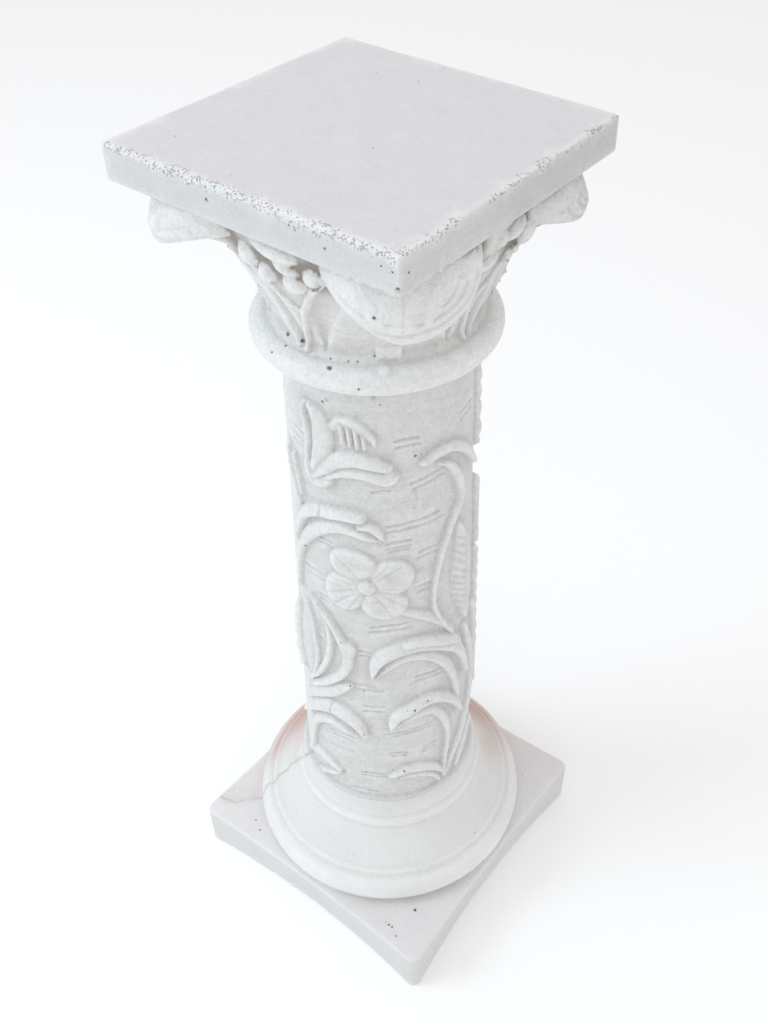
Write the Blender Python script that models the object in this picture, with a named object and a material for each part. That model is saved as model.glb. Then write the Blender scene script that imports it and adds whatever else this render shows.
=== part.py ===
"""Decorative column of cast white cement stone: a square slab on a leafed capital, a round shaft
wound with scrolls and a flower, and a moulded base on a plinth with bowed-in sides.
It is one casting, so it is one solid. Metres, +Z up, standing on the middle of its underside."""

import math

import bmesh
import bpy
from mathutils import Matrix, Vector

# Driving dimensions in metres
HEIGHT = 0.800
SLAB_SIDE = 0.2395
SLAB_THICKNESS = 0.0265
SLAB_EDGE = 0.0025
# The slab sits this much off the axis of the shaft, towards minus X and minus Y
SLAB_SHIFT = 0.0022

PLINTH_REACH = 0.1955
PLINTH_THICKNESS = 0.0525
# The sides bow in by this much at the top and, as they also slope in, by more at the foot
PLINTH_TOP_BOW = 0.0037
PLINTH_FOOT_BOW = 0.0107
PLINTH_CORNER = 0.014
PLINTH_EDGE = 0.0015

# The half-round torus stops this far inside the middle of the plinth's upper edge, and the mix fills
# the angle below it out to this far inside its widest place
TORUS_SETBACK = 0.0010
TORUS_HEIGHT = 0.034
TORUS_FOOT_INSET = 0.0080
FLARE_FOOT_RADIUS = 0.1248
CREASE_DEPTH = 0.0015
ROLL_SIZE = 0.0060
FLARE_HEIGHT = 0.037
FOOT_RING_RADIUS = 0.0900
FOOT_RING_HEIGHT = 0.012
FOOT_BEAD_HEIGHT = 0.024
FOOT_BEAD_RADIUS = 0.0870

SHAFT_FOOT_RADIUS = 0.0815
SHAFT_TOP_RADIUS = 0.0720

RING_RADIUS = 0.0935
RING_THICKNESS = 0.021

BELL_HEIGHT = 0.110
BELL_FOOT_RADIUS = 0.0750
BELL_TOP_RADIUS = 0.108

LEAF_REACH = 0.151
LEAF_WIDTH = 0.096
LEAF_LEAN = 0.0040
LEAF_DROP = 0.047

RELIEF_HEIGHT = 0.0060
SCROLL_WIDTH = 0.019
PETAL_SIZE = 0.034
BOSS_SIZE = 0.015
KNOT_SIZE = 0.022
FINGER_WIDTH = 0.006

RIB_WIDTH = 0.007
RIB_HEIGHT = 0.0045
LOBE_SIZE = 0.018
TAB_WIDTH = 0.013
TAB_HEIGHT = 0.010
TAB_THICKNESS = 0.003

# How finely round forms are cut
ROUND_STEPS = 36
PLINTH_SIDE_STEPS = 8
PLINTH_CORNER_STEPS = 4
STATION_SPACING = 0.020
OVERLAP = 0.004
# Strokes of the shaft's back half are left out below this share of the relief's height
LEAST_BACK_RISE = 0.72

# Colour of the cast, as sRGB, and its finish
CAST_COLOUR = (0.86, 0.85, 0.83)
CAST_ROUGHNESS = 0.8

# Heights that follow from the sizes above
SLAB_UNDERSIDE = HEIGHT - SLAB_THICKNESS
# Rounding takes this much off the tip of a square corner
PLINTH_HALF = (PLINTH_REACH + PLINTH_CORNER * math.sqrt(2) / 4) / math.sqrt(2)
TORUS_RADIUS = PLINTH_HALF - PLINTH_TOP_BOW - TORUS_SETBACK
TORUS_TOP = PLINTH_THICKNESS + TORUS_HEIGHT
FLARE_TOP = TORUS_TOP + FLARE_HEIGHT
FOOT_RING_TOP = FLARE_TOP + FOOT_RING_HEIGHT
SHAFT_FOOT = FOOT_RING_TOP + FOOT_BEAD_HEIGHT
BELL_FOOT = SLAB_UNDERSIDE - BELL_HEIGHT
RING_MIDDLE = BELL_FOOT - RING_THICKNESS / 4
SHAFT_TOP = RING_MIDDLE - RING_THICKNESS / 2

# The carving of the front half of the shaft. Each stroke runs through points given as degrees round
# the shaft and percent of the shaft's height, and has shares of SCROLL_WIDTH along its length and
# one share of RELIEF_HEIGHT. The front corner of the slab is at minus 45 degrees.
STROKES = (
    # upper left spray: a crescent blade and a double lobe that arches to the right
    (((-102, 92), (-91, 93.3), (-85, 88.5), (-87, 83), (-96, 79.9)), (0.3, 0.7, 0.75, 0.6, 0.5), 0.85),
    (((-93, 80.4), (-83, 84.5), (-68, 86.5), (-55, 86), (-46, 84)), (0.45, 0.7, 0.85, 0.8, 0.4), 0.9),
    (((-84, 81), (-66, 83.5), (-53, 82.5), (-45, 81.3)), (0.3, 0.45, 0.55, 0.6), 0.7),
    # upper left scroll with the blade below it that runs down the left side
    (((-64, 74.7), (-86, 74.4), (-107, 70.9), (-126, 64.4)), (0.65, 0.7, 0.6, 0.4), 0.85),
    (((-52, 69.7), (-70, 72), (-92, 70.6), (-106, 66.4), (-114, 58.8), (-115, 50.3)),
     (0.1, 0.55, 0.55, 0.5, 0.4, 0.3), 0.7),
    # upper right hook, and the stem that leaves it downwards
    (((-28, 84.4), (-10, 85.7), (9, 83), (25, 77.2)), (0.4, 0.65, 0.55, 0.4), 0.85),
    (((-18, 84), (0, 81.8), (11, 75.6), (1, 68.5), (-12, 61.7), (-17, 53.3), (-9, 46.2)),
     (0.3, 0.55, 0.65, 0.6, 0.5, 0.45, 0.4), 0.75),
    # broad feathered leaf at the right edge
    (((4, 67.1), (12, 58.3), (11, 53.1), (2, 45)), (0.5, 1.3, 1.3, 0.4), 0.8),
    # the flower's stalk
    (((-42, 53.1), (-22, 49.3), (-4, 42.7)), (0.4, 0.4, 0.4), 0.6),
    # moon-shaped leaf at the left, its inner fold and its lower tip
    (((-106, 49.5), (-88, 45.8), (-76, 40), (-84, 33.7), (-108, 28)), (0.3, 0.65, 0.8, 0.6, 0.3), 0.85),
    (((-100, 46), (-90, 39.8), (-111, 30.7)), (0.35, 0.35, 0.3), 0.55),
    (((-75, 32.9), (-92, 29.2), (-113, 23.9)), (0.2, 0.5, 0.3), 0.75),
    # overlapping leaf at the left edge
    (((-124, 49.1), (-130, 41.2), (-126, 34.2)), (0.5, 0.8, 0.4), 0.8),
    # middle right scroll and its inner blade
    (((-61, 36), (-56, 41.7), (-41, 44.7), (-21, 43.5), (-4, 38.8), (9, 30.2)),
     (0.12, 0.6, 0.98, 0.9, 0.65, 0.45), 1.0),
    (((-59, 36.2), (-45, 39.9), (-25, 39.7), (-9, 35.4), (2, 27.7), (4, 20.8)),
     (0.1, 0.4, 0.55, 0.5, 0.4, 0.4), 0.7),
    # lower right scroll and its inner blade
    (((-50, 21), (-42, 25.7), (-25, 27.6), (-8, 24.9), (2, 19.1)), (0.12, 0.75, 1.0, 0.75, 0.5), 1.0),
    (((-47, 21.3), (-32, 23.6), (-15, 21.4), (-8, 15.3), (-13, 3)), (0.1, 0.45, 0.5, 0.5, 0.35), 0.7),
    # lower left scroll and its inner blade
    (((-63, 20.1), (-77, 23.8), (-97, 23.1), (-124, 15.4)), (0.3, 0.65, 0.65, 0.4), 0.9),
    (((-65, 18.6), (-81, 20.9), (-100, 19), (-111, 12.7), (-113, 5.3)), (0.4, 0.5, 0.55, 0.5, 0.3), 0.75),
    # small leaves at the foot
    (((-86, 4.7), (-106, 6.1), (-118, 5)), (0.1, 0.5, 0.4), 0.7),
    (((-86, 4.5), (-94, 2.3), (-101, 0.5)), (0.1, 0.35, 0.4), 0.6),
    (((-51, 6.1), (-36, 8.4), (-20, 6)), (0.1, 0.6, 0.45), 0.75),
    (((-44, 5.6), (-27, 4.7), (-14, 0.8)), (0.1, 0.5, 0.4), 0.6),
    (((-5, 8.1), (8, 12.7), (26, 16.1)), (0.35, 0.6, 0.4), 0.85),
)

# Fingers of the small comb above the spray: degrees, and percent at the foot and at the tip
FINGERS = ((-75, 88.0, 92.5), (-69.5, 88.0, 92.8), (-64, 88.0, 92.3), (-58.5, 87.5, 91.0))

# Flower: degrees and percent of its middle, and the way each petal points, in degrees
FLOWER_PLACE = (-60, 59.1)
PETAL_WAYS = (120, 32, -62, 207)
PETAL_SPREAD = 0.76
KNOT_PLACE = (-94, 79.9)

# Flower cluster on each face of the capital, in shares of LOBE_SIZE: along the face from its middle,
# sunk into the bell, down from the slab, and the lobe's half sizes along the face, outwards and up
LOBES = (
    (0.15, 0.25, 1.35, 0.95, 0.5, 0.5),
    (-1.45, 0.23, 1.55, 0.45, 0.45, 0.6),
    (-0.35, 0.02, 2.15, 0.4, 0.42, 0.42),
    (0.75, 0.17, 1.85, 0.48, 0.45, 0.45),
    (1.45, 0.16, 1.75, 0.48, 0.45, 0.48),
)


def remove_everything():
    for thing in list(bpy.data.objects):
        bpy.data.objects.remove(thing)


def mix(first, second, share):
    return first + (second - first) * share


def smooth_step(share):
    share = min(max(share, 0.0), 1.0)
    return share * share * (3 - 2 * share)


def arc(centre_radius, centre_height, size, start, end, steps):
    """Profile points on an arc, from start to end degrees."""
    points = []
    for step in range(steps + 1):
        angle = math.radians(mix(start, end, step / steps))
        points.append((centre_radius + size * math.cos(angle), centre_height + size * math.sin(angle)))
    return points


def shaft_radius(height):
    return mix(SHAFT_FOOT_RADIUS, SHAFT_TOP_RADIUS, (height - SHAFT_FOOT) / (SHAFT_TOP - SHAFT_FOOT))


def bell_radius(height):
    return mix(BELL_FOOT_RADIUS, BELL_TOP_RADIUS, smooth_step((height - BELL_FOOT) / BELL_HEIGHT))


def on_round(surface, degrees, height, lift):
    """Point at this direction and height, lifted from a turned surface."""
    radius = surface(height) + lift
    angle = math.radians(degrees)
    return Vector((radius * math.cos(angle), radius * math.sin(angle), height))


def finished_mesh(name, shape):
    bmesh.ops.recalc_face_normals(shape, faces=shape.faces)
    mesh = bpy.data.meshes.new(name)
    shape.to_mesh(mesh)
    shape.free()
    return mesh


def turned_profile():
    """Half outline of all that is round, from the plinth up into the slab."""
    torus_foot = TORUS_RADIUS - TORUS_FOOT_INSET
    torus_size = TORUS_HEIGHT / 2
    points = [(0, PLINTH_THICKNESS - OVERLAP), (torus_foot, PLINTH_THICKNESS - OVERLAP)]
    points.append((torus_foot, PLINTH_THICKNESS))
    points += arc(TORUS_RADIUS - torus_size, PLINTH_THICKNESS + torus_size, torus_size, -40, 72, 4)
    # Crease, with a small roll above it
    roll_radius = FLARE_FOOT_RADIUS - CREASE_DEPTH
    points.append((roll_radius, TORUS_TOP - CREASE_DEPTH))
    for step in range(3):
        angle = math.radians(90 * step / 2)
        points.append((
            roll_radius - ROLL_SIZE * (1 - math.cos(angle)),
            TORUS_TOP + ROLL_SIZE * mix(0.1, 0.9, math.sin(angle))
        ))
    # Hollow flare up to the foot ring
    start_radius, start_height = points[-1]
    for step in range(1, 5):
        share = step / 4
        depth = mix(share, math.sin(share * math.pi / 2), 0.55)
        points.append((mix(start_radius, FOOT_RING_RADIUS, depth), mix(start_height, FLARE_TOP, share)))
    ring_size = FOOT_RING_HEIGHT / 2
    points += arc(FOOT_RING_RADIUS - ring_size, FLARE_TOP + ring_size, ring_size, -25, 60, 2)
    # Low bead between the foot ring and the shaft
    for step in range(4):
        angle = math.radians(90 * step / 3)
        points.append((
            mix(SHAFT_FOOT_RADIUS, FOOT_BEAD_RADIUS, math.cos(angle)),
            mix(FOOT_RING_TOP, SHAFT_FOOT, math.sin(angle))
        ))
    points.append((SHAFT_TOP_RADIUS, SHAFT_TOP))
    ring_half = RING_THICKNESS / 2
    points += arc(RING_RADIUS - ring_half, RING_MIDDLE, ring_half, -60, 110, 5)
    for step in range(6):
        height = mix(BELL_FOOT, SLAB_UNDERSIDE + OVERLAP, step / 5)
        points.append((bell_radius(height), height))
    points.append((0, SLAB_UNDERSIDE + OVERLAP))
    return points


def turned_body():
    shape = bmesh.new()
    ring = [shape.verts.new((radius, 0, height)) for radius, height in turned_profile()]
    edges = [shape.edges.new(pair) for pair in zip(ring, ring[1:])]
    bmesh.ops.spin(
        shape, geom=ring + edges, axis=(0, 0, 1), cent=(0, 0, 0), angle=2 * math.pi, steps=ROUND_STEPS
    )
    bmesh.ops.remove_doubles(shape, verts=shape.verts, dist=1e-6)
    return finished_mesh("turned body", shape)


def lofted(name, outlines):
    """Closed form through outlines of equally many points, from the lowest up."""
    shape = bmesh.new()
    rows = [[shape.verts.new(point) for point in outline] for outline in outlines]
    size = len(rows[0])
    for first, second in zip(rows, rows[1:]):
        for index in range(size):
            after = (index + 1) % size
            shape.faces.new((first[index], first[after], second[after], second[index]))
    shape.faces.new(rows[0])
    shape.faces.new(rows[-1])
    return finished_mesh(name, shape)


def slab():
    """Square slab with its rims eased."""
    outlines = []
    for height, inset in (
        (SLAB_UNDERSIDE, SLAB_EDGE), (SLAB_UNDERSIDE + SLAB_EDGE, 0), (HEIGHT - SLAB_EDGE, 0), (HEIGHT, SLAB_EDGE)
    ):
        half = SLAB_SIDE / 2 - inset
        outlines.append([
            (half * x - SLAB_SHIFT, half * y - SLAB_SHIFT, height) for x, y in ((1, 1), (-1, 1), (-1, -1), (1, -1))
        ])
    return lofted("slab", outlines)


def plinth_outline(bow, inset, height):
    """Square whose sides bow in as circular arcs between rounded corners."""
    half = PLINTH_HALF - inset
    radius = (half * half + bow * bow) / (2 * bow)
    sweep = math.asin(half / radius)
    rounding = PLINTH_CORNER / radius
    quarter = []
    for step in range(PLINTH_SIDE_STEPS + 1):
        angle = mix(-sweep + rounding, sweep - rounding, step / PLINTH_SIDE_STEPS)
        quarter.append(Vector((half - bow + radius * (1 - math.cos(angle)), radius * math.sin(angle))))
    # The corner is a curve that leaves both sides along their own directions
    start = quarter[-1]
    end = Vector((quarter[0].y * -1, quarter[0].x))
    tip = Vector((half, half))
    for step in range(1, PLINTH_CORNER_STEPS):
        share = step / PLINTH_CORNER_STEPS
        quarter.append(start * (1 - share) ** 2 + tip * 2 * share * (1 - share) + end * share ** 2)
    outline = []
    for side in range(4):
        turn = Matrix.Rotation(side * math.pi / 2, 2)
        outline += [(*(turn @ point), height) for point in quarter]
    return outline


def plinth():
    return lofted("plinth", [
        plinth_outline(PLINTH_FOOT_BOW, PLINTH_EDGE, 0),
        plinth_outline(PLINTH_FOOT_BOW, 0, PLINTH_EDGE),
        plinth_outline(PLINTH_TOP_BOW, 0, PLINTH_THICKNESS - PLINTH_EDGE),
        plinth_outline(PLINTH_TOP_BOW, PLINTH_EDGE, PLINTH_THICKNESS),
    ])


def smooth_path(points, shares, count):
    """Stations on a smooth line through the points, each with its width share."""
    rows = [Vector((*point, share)) for point, share in zip(points, shares)]
    rows = [rows[0] * 2 - rows[1]] + rows + [rows[-1] * 2 - rows[-2]]
    spans = len(rows) - 3
    stations = []
    for step in range(count + 1):
        place = min(step / count * spans, spans - 1e-9)
        index = int(place)
        t = place - index
        before, start, end, after = rows[index:index + 4]
        stations.append(
            0.5 * (2 * start + (end - before) * t
                   + (2 * before - 5 * start + 4 * end - after) * t * t
                   + (3 * start - before - 3 * end + after) * t ** 3)
        )
    return stations


def ridge(surface, points, shares, width, height):
    """Rounded ridge laid on a turned surface along a line of (degrees, height) points."""
    radius = surface(points[0][1])
    length = sum(
        math.hypot(math.radians(b[0] - a[0]) * radius, b[1] - a[1]) for a, b in zip(points, points[1:])
    )
    count = max(3, round(length / STATION_SPACING))
    stations = smooth_path(points, shares, count)
    # Across the ridge: place as a share of the half width, and lift as a share of the height
    section = ((-1, -0.5), (-0.5, 0.95), (0.5, 0.95), (1, -0.5))
    shape = bmesh.new()
    rows = []
    for index, station in enumerate(stations):
        before = stations[max(index - 1, 0)]
        after = stations[min(index + 1, count)]
        radius = surface(station[1])
        along = Vector((math.radians(after[0] - before[0]) * radius, after[1] - before[1])).normalized()
        half = max(station[2], 0.1) * width / 2
        rise = height * min(1, 0.35 + max(station[2], 0.1) * 2)
        row = []
        for across, lift in section:
            shift = Vector((-along.y, along.x)) * across * half
            row.append(shape.verts.new(on_round(
                surface, station[0] + math.degrees(shift.x / radius), station[1] + shift.y, lift * rise
            )))
        rows.append(row)
    for first, second in zip(rows, rows[1:]):
        for index in range(len(section)):
            after = (index + 1) % len(section)
            shape.faces.new((first[index], first[after], second[after], second[index]))
    shape.faces.new(rows[0])
    shape.faces.new(rows[-1])
    return finished_mesh("ridge", shape)


def dome(surface, degrees, height, length, width, rise, tilt, sides=8):
    """Low rounded mound on a turned surface, longer along tilt."""
    radius = surface(height)
    shape = bmesh.new()
    turn = Matrix.Rotation(math.radians(tilt), 2)

    def place(x, y, lift):
        spot = turn @ Vector((x, y))
        return shape.verts.new(
            on_round(surface, degrees + math.degrees(spot.x / radius), height + spot.y, lift)
        )

    rows = []
    for share, lift in ((1, -0.5), (0.8, 0.7)):
        rows.append([
            place(share * length / 2 * math.cos(angle), share * width / 2 * math.sin(angle), lift * rise)
            for angle in (2 * math.pi * side / sides for side in range(sides))
        ])
    top = place(0, 0, rise)
    low = place(0, 0, -0.6 * rise)
    for side in range(sides):
        after = (side + 1) % sides
        shape.faces.new((rows[0][side], rows[0][after], rows[1][after], rows[1][side]))
        shape.faces.new((rows[1][side], rows[1][after], top))
        shape.faces.new((rows[0][after], rows[0][side], low))
    return finished_mesh("dome", shape)


def shaft_height(percent):
    return mix(SHAFT_FOOT, SHAFT_TOP, percent / 100)


def shaft_carving(turn, full):
    """The relief of one half of the shaft, turned about the axis by turn degrees. Where it isn't
    full, the lowest strokes and the small comb are left out."""
    meshes = []
    for points, shares, rise in STROKES:
        if rise < LEAST_BACK_RISE and not full:
            continue
        placed = [(degrees + turn, shaft_height(percent)) for degrees, percent in points]
        meshes.append(ridge(shaft_radius, placed, shares, SCROLL_WIDTH, RELIEF_HEIGHT * rise))
    for degrees, low, high in FINGERS if full else ():
        placed = [(degrees + turn, shaft_height(percent)) for percent in (low, (low + high) / 2, high)]
        meshes.append(ridge(shaft_radius, placed, (0.8, 1, 0.7), FINGER_WIDTH, RELIEF_HEIGHT * 0.6))
    flower_degrees, flower_percent = FLOWER_PLACE
    middle = shaft_height(flower_percent)
    reach = PETAL_SIZE * PETAL_SPREAD
    for way in PETAL_WAYS:
        angle = math.radians(way)
        degrees = flower_degrees + turn + math.degrees(reach * math.cos(angle) / shaft_radius(middle))
        height = middle + reach * math.sin(angle)
        meshes.append(dome(
            shaft_radius, degrees, height, PETAL_SIZE * 1.06, PETAL_SIZE, RELIEF_HEIGHT * 0.7, way
        ))
    meshes.append(dome(
        shaft_radius, flower_degrees + turn, middle, BOSS_SIZE, BOSS_SIZE, RELIEF_HEIGHT * 1.15, 0
    ))
    meshes.append(dome(
        shaft_radius, KNOT_PLACE[0] + turn, shaft_height(KNOT_PLACE[1]), KNOT_SIZE, KNOT_SIZE * 0.75,
        RELIEF_HEIGHT, 20
    ))
    return meshes


def corner_leaf(turn, hand):
    """Shell-shaped leaf that curls out under one corner of the slab, its rim hanging down.
    hand is 1 or -1, for the side towards which the leaf is wider."""
    # Each ring of the leaf: its tip's reach and its half width as shares, then how far its tip and
    # its sides lie below the slab as shares of LEAF_DROP, from inside the slab down to the bell
    rings = (
        (0.90, 0.84, -0.09, -0.09),
        (0.965, 0.95, 0.32, 0.22),
        (1.0, 1.0, 0.68, 0.40),
        (0.985, 1.0, 0.98, 0.55),
        (0.88, 0.88, 0.92, 0.58),
        (0.75, 0.80, 0.89, 0.68),
        (0.64, 0.76, 1.04, 0.94),
        (0.545, 0.70, 1.46, 1.43),
    )
    steps = 8
    # The sides of the leaf start this far out, as a share of its reach
    root = 0.50
    shape = bmesh.new()
    rows = []
    for reach, width, tip_drop, side_drop in rings:
        row = []
        for step in range(steps + 1):
            angle = math.radians(mix(-90, 90, step / steps))
            out = LEAF_REACH * (root + (reach - root) * math.cos(angle) ** 0.8)
            side = math.sin(angle)
            across = width * side * (LEAF_WIDTH / 2 + LEAF_LEAN * hand * side)
            drop = mix(tip_drop, side_drop, abs(side) ** 1.5)
            row.append(shape.verts.new((out, across, SLAB_UNDERSIDE - LEAF_DROP * drop)))
        back = SLAB_UNDERSIDE - LEAF_DROP * side_drop
        row.append(shape.verts.new((LEAF_REACH * 0.3, 0, back)))
        rows.append(row)
    size = len(rows[0])
    for first, second in zip(rows, rows[1:]):
        for index in range(size):
            after = (index + 1) % size
            shape.faces.new((first[index], first[after], second[after], second[index]))
    shape.faces.new(rows[0])
    shape.faces.new(rows[-1])
    bmesh.ops.rotate(
        shape, verts=shape.verts, cent=(0, 0, 0), matrix=Matrix.Rotation(math.radians(turn), 3, "Z")
    )
    return finished_mesh("corner leaf", shape)


def face_ornament(turn, hand):
    """What stands on one face of the capital: cluster, forked rib and pointed leaf.
    hand is 1 or -1 and mirrors it, because neighbouring faces mirror each other."""
    meshes = []
    facing = Matrix.Rotation(math.radians(turn), 4, "Z")
    for along, sunk, drop, length, depth, tall in LOBES:
        shape = bmesh.new()
        bmesh.ops.create_uvsphere(shape, u_segments=6, v_segments=5, radius=LOBE_SIZE)
        bmesh.ops.scale(shape, verts=shape.verts, vec=(depth, length, tall))
        height = SLAB_UNDERSIDE - drop * LOBE_SIZE
        place = Vector((bell_radius(height) - sunk * LOBE_SIZE, hand * along * LOBE_SIZE, height))
        bmesh.ops.translate(shape, verts=shape.verts, vec=place)
        bmesh.ops.transform(shape, matrix=facing, verts=shape.verts)
        meshes.append(finished_mesh("lobe", shape))

    def bell_height(percent):
        return mix(BELL_FOOT, SLAB_UNDERSIDE, percent / 100)

    # Lines on the bell as degrees from the middle of the face and percent of the bell's height
    lines = (
        (((2, 1), (4, 20), (5.5, 37)), (1, 0.8, 1), RIB_WIDTH, RIB_HEIGHT),
        (((5, 35), (14, 56), (23, 74)), (0.9, 1, 1.2), RIB_WIDTH, RIB_HEIGHT),
        (((5, 35), (-2, 46), (-10, 62)), (0.9, 0.9, 0.8), RIB_WIDTH, RIB_HEIGHT * 0.8),
        (((-5, 4), (-14, 18), (-22, 32), (-27, 45)), (0.3, 1.0, 1.4, 1.3), SCROLL_WIDTH, RIB_HEIGHT * 0.8),
    )
    for points, shares, width, rise in lines:
        placed = [(turn + hand * degrees, bell_height(percent)) for degrees, percent in points]
        meshes.append(ridge(bell_radius, placed, shares, width, rise))
    return meshes


def corner_tab(turn):
    """Small square tab on the foot of the bell under a corner leaf."""
    shape = bmesh.new()
    bmesh.ops.create_cube(shape, size=1)
    bmesh.ops.scale(shape, verts=shape.verts, vec=(TAB_THICKNESS * 2, TAB_WIDTH, TAB_HEIGHT))
    foot = BELL_FOOT + RING_THICKNESS * 0.25
    bmesh.ops.translate(
        shape, verts=shape.verts, vec=(BELL_FOOT_RADIUS + TAB_THICKNESS * 0.3, 0, foot + TAB_HEIGHT / 2)
    )
    bmesh.ops.rotate(
        shape, verts=shape.verts, cent=(0, 0, 0), matrix=Matrix.Rotation(math.radians(turn), 3, "Z")
    )
    return finished_mesh("tab", shape)


def cast_material():
    material = bpy.data.materials.new("white cast cement stone")
    material.use_nodes = True
    shader = material.node_tree.nodes["Principled BSDF"]
    linear = [part / 12.92 if part <= 0.04045 else ((part + 0.055) / 1.055) ** 2.4 for part in CAST_COLOUR]
    shader.inputs["Base Color"].default_value = (*linear, 1)
    shader.inputs["Roughness"].default_value = CAST_ROUGHNESS
    shader.inputs["Metallic"].default_value = 0
    return material


def build():
    remove_everything()
    additions = [slab(), plinth()]
    additions += shaft_carving(0, True) + shaft_carving(180, False)
    for corner in range(4):
        additions.append(corner_leaf(45 + 90 * corner, 1 if corner % 2 else -1))
        additions.append(corner_tab(45 + 90 * corner))
    for side in range(4):
        additions += face_ornament(90 * side, 1 if side % 2 else -1)

    helpers = bpy.data.collections.new("forms to fuse")
    bpy.context.scene.collection.children.link(helpers)
    for index, mesh in enumerate(additions):
        helper = bpy.data.objects.new(f"form_{index}", mesh)
        helper.hide_render = True
        helper.display_type = "WIRE"
        helpers.objects.link(helper)

    column = bpy.data.objects.new("column", turned_body())
    bpy.context.scene.collection.objects.link(column)
    fuse = column.modifiers.new("fuse the forms", "BOOLEAN")
    fuse.operation = "UNION"
    fuse.solver = "EXACT"
    fuse.operand_type = "COLLECTION"
    fuse.collection = helpers
    column.data.materials.append(cast_material())
    column.data.shade_smooth()
    column.data.set_sharp_from_angle(angle=math.radians(35))


build()
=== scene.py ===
# %% [markdown]
# A decorative column, cast in one piece from white cement stone: a square slab, a leafed capital, a
# round shaft wound with scrolls and a flower, and a moulded base. The imported CAD model is loaded
# first. It is the fixed frame, and the height of the column is taken from it.

# %% Load the frame
import math

import bmesh
import bpy
import numpy as np
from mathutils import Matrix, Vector


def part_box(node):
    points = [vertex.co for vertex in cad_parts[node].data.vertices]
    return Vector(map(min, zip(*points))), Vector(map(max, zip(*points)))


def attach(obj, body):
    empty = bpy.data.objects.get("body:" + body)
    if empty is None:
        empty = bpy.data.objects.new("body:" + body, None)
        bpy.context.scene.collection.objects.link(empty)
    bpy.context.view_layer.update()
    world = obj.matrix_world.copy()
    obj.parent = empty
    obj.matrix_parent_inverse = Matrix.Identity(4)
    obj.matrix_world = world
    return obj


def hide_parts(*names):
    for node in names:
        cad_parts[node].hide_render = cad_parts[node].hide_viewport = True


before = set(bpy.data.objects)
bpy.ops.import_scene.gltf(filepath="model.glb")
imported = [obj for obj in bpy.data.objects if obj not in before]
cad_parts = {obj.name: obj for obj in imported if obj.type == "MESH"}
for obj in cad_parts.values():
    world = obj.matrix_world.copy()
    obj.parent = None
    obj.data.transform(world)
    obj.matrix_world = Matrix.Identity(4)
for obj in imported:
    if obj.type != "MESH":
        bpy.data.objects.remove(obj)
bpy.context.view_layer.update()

frame_low, frame_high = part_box("column")
print("CAD column:", [round(side * 1000, 1) for side in frame_high - frame_low], "mm")

# %% [markdown]
# The camera stands where the photographer stood: a little above the slab, looking down on the corner
# between the faces at +X and -Y. Its place, lens and shift were fitted to the slab's corners.

# %% Camera
camera_data = bpy.data.cameras.new("camera")
camera_data.sensor_width = 36
camera_data.lens = 38.5165
camera_data.shift_x = -0.04396
camera_data.shift_y = -0.03964
camera = bpy.data.objects.new("camera", camera_data)
camera.location = (0.43534, -0.52612, 1.09430)
camera.rotation_euler = [math.radians(angle) for angle in (49.2191, -0.41446, 36.6971)]
bpy.context.scene.collection.objects.link(camera)
bpy.context.scene.camera = camera
print("camera", round(camera.location.length, 3), "m from the foot of the column")

# %% [markdown]
# All carving below is written in millimetres, because that is how a mould maker reads it. The main
# heights come from the frame: its height, and the sizes that the casting was drawn from.

# %% Sizes in millimetres
HEIGHT = frame_high.z * 1000
SLAB_SIDE = 239.5
SLAB_THICKNESS = 26.5
SLAB_SHIFT = 2.2
SLAB_UNDERSIDE = HEIGHT - SLAB_THICKNESS
PLINTH_REACH = 195.5
PLINTH_THICKNESS = 52.5
PLINTH_TOP_BOW = 3.9
PLINTH_FOOT_BOW = 10.7
PLINTH_CORNER = 14.0
SHAFT_FOOT = 159.5
SHAFT_FOOT_RADIUS = 81.5
SHAFT_TOP_RADIUS = 72.0
BELL_FOOT = SLAB_UNDERSIDE - 110
BELL_FOOT_RADIUS = 75.0
BELL_TOP_RADIUS = 108.0
RING_RADIUS = 93.5
RING_THICKNESS = 21.0
RING_MIDDLE = BELL_FOOT - RING_THICKNESS / 4
SHAFT_TOP = RING_MIDDLE - RING_THICKNESS / 2
ARRIS = 2.2
VOXEL = 1.25
MOST_TRIANGLES = 196000
print("shaft from", SHAFT_FOOT, "to", SHAFT_TOP, "mm, voxels of", VOXEL, "mm")


def mix(first, second, share):
    return first + (second - first) * share


def smooth_step(share):
    share = np.clip(share, 0, 1)
    return share * share * (3 - 2 * share)


def shaft_radius(height):
    return mix(SHAFT_FOOT_RADIUS, SHAFT_TOP_RADIUS, (height - SHAFT_FOOT) / (SHAFT_TOP - SHAFT_FOOT))


def bell_radius(height):
    share = smooth_step((height - BELL_FOOT) / (SLAB_UNDERSIDE - BELL_FOOT))
    return mix(BELL_FOOT_RADIUS, BELL_TOP_RADIUS, share)


# %% [markdown]
# A form is started from a primitive and then pushed into shape in edit mode. Two helpers do what is
# done again and again: one puts a fresh primitive alone in the selection, and one lofts, which means
# that a disc is extruded and each new rim is laid on the next outline.

# %% Helpers for modelling
def start(add, name, **settings):
    bpy.ops.object.select_all(action="DESELECT")
    add(**settings)
    form = bpy.context.object
    form.name = name
    return form


def finish_form(form):
    """Back to object mode, closed form facing outwards, its place in its mesh."""
    bpy.ops.mesh.select_all(action="SELECT")
    bpy.ops.mesh.remove_doubles(threshold=1e-6)
    bpy.ops.mesh.normals_make_consistent(inside=False)
    bpy.ops.object.mode_set(mode="OBJECT")
    bpy.ops.object.transform_apply(location=True, rotation=True, scale=True)
    return form


def turned(out, across, turn):
    """A point that lies this far out and across, once its side is turned about the axis."""
    return out * math.cos(turn) - across * math.sin(turn), out * math.sin(turn) + across * math.cos(turn)


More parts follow.
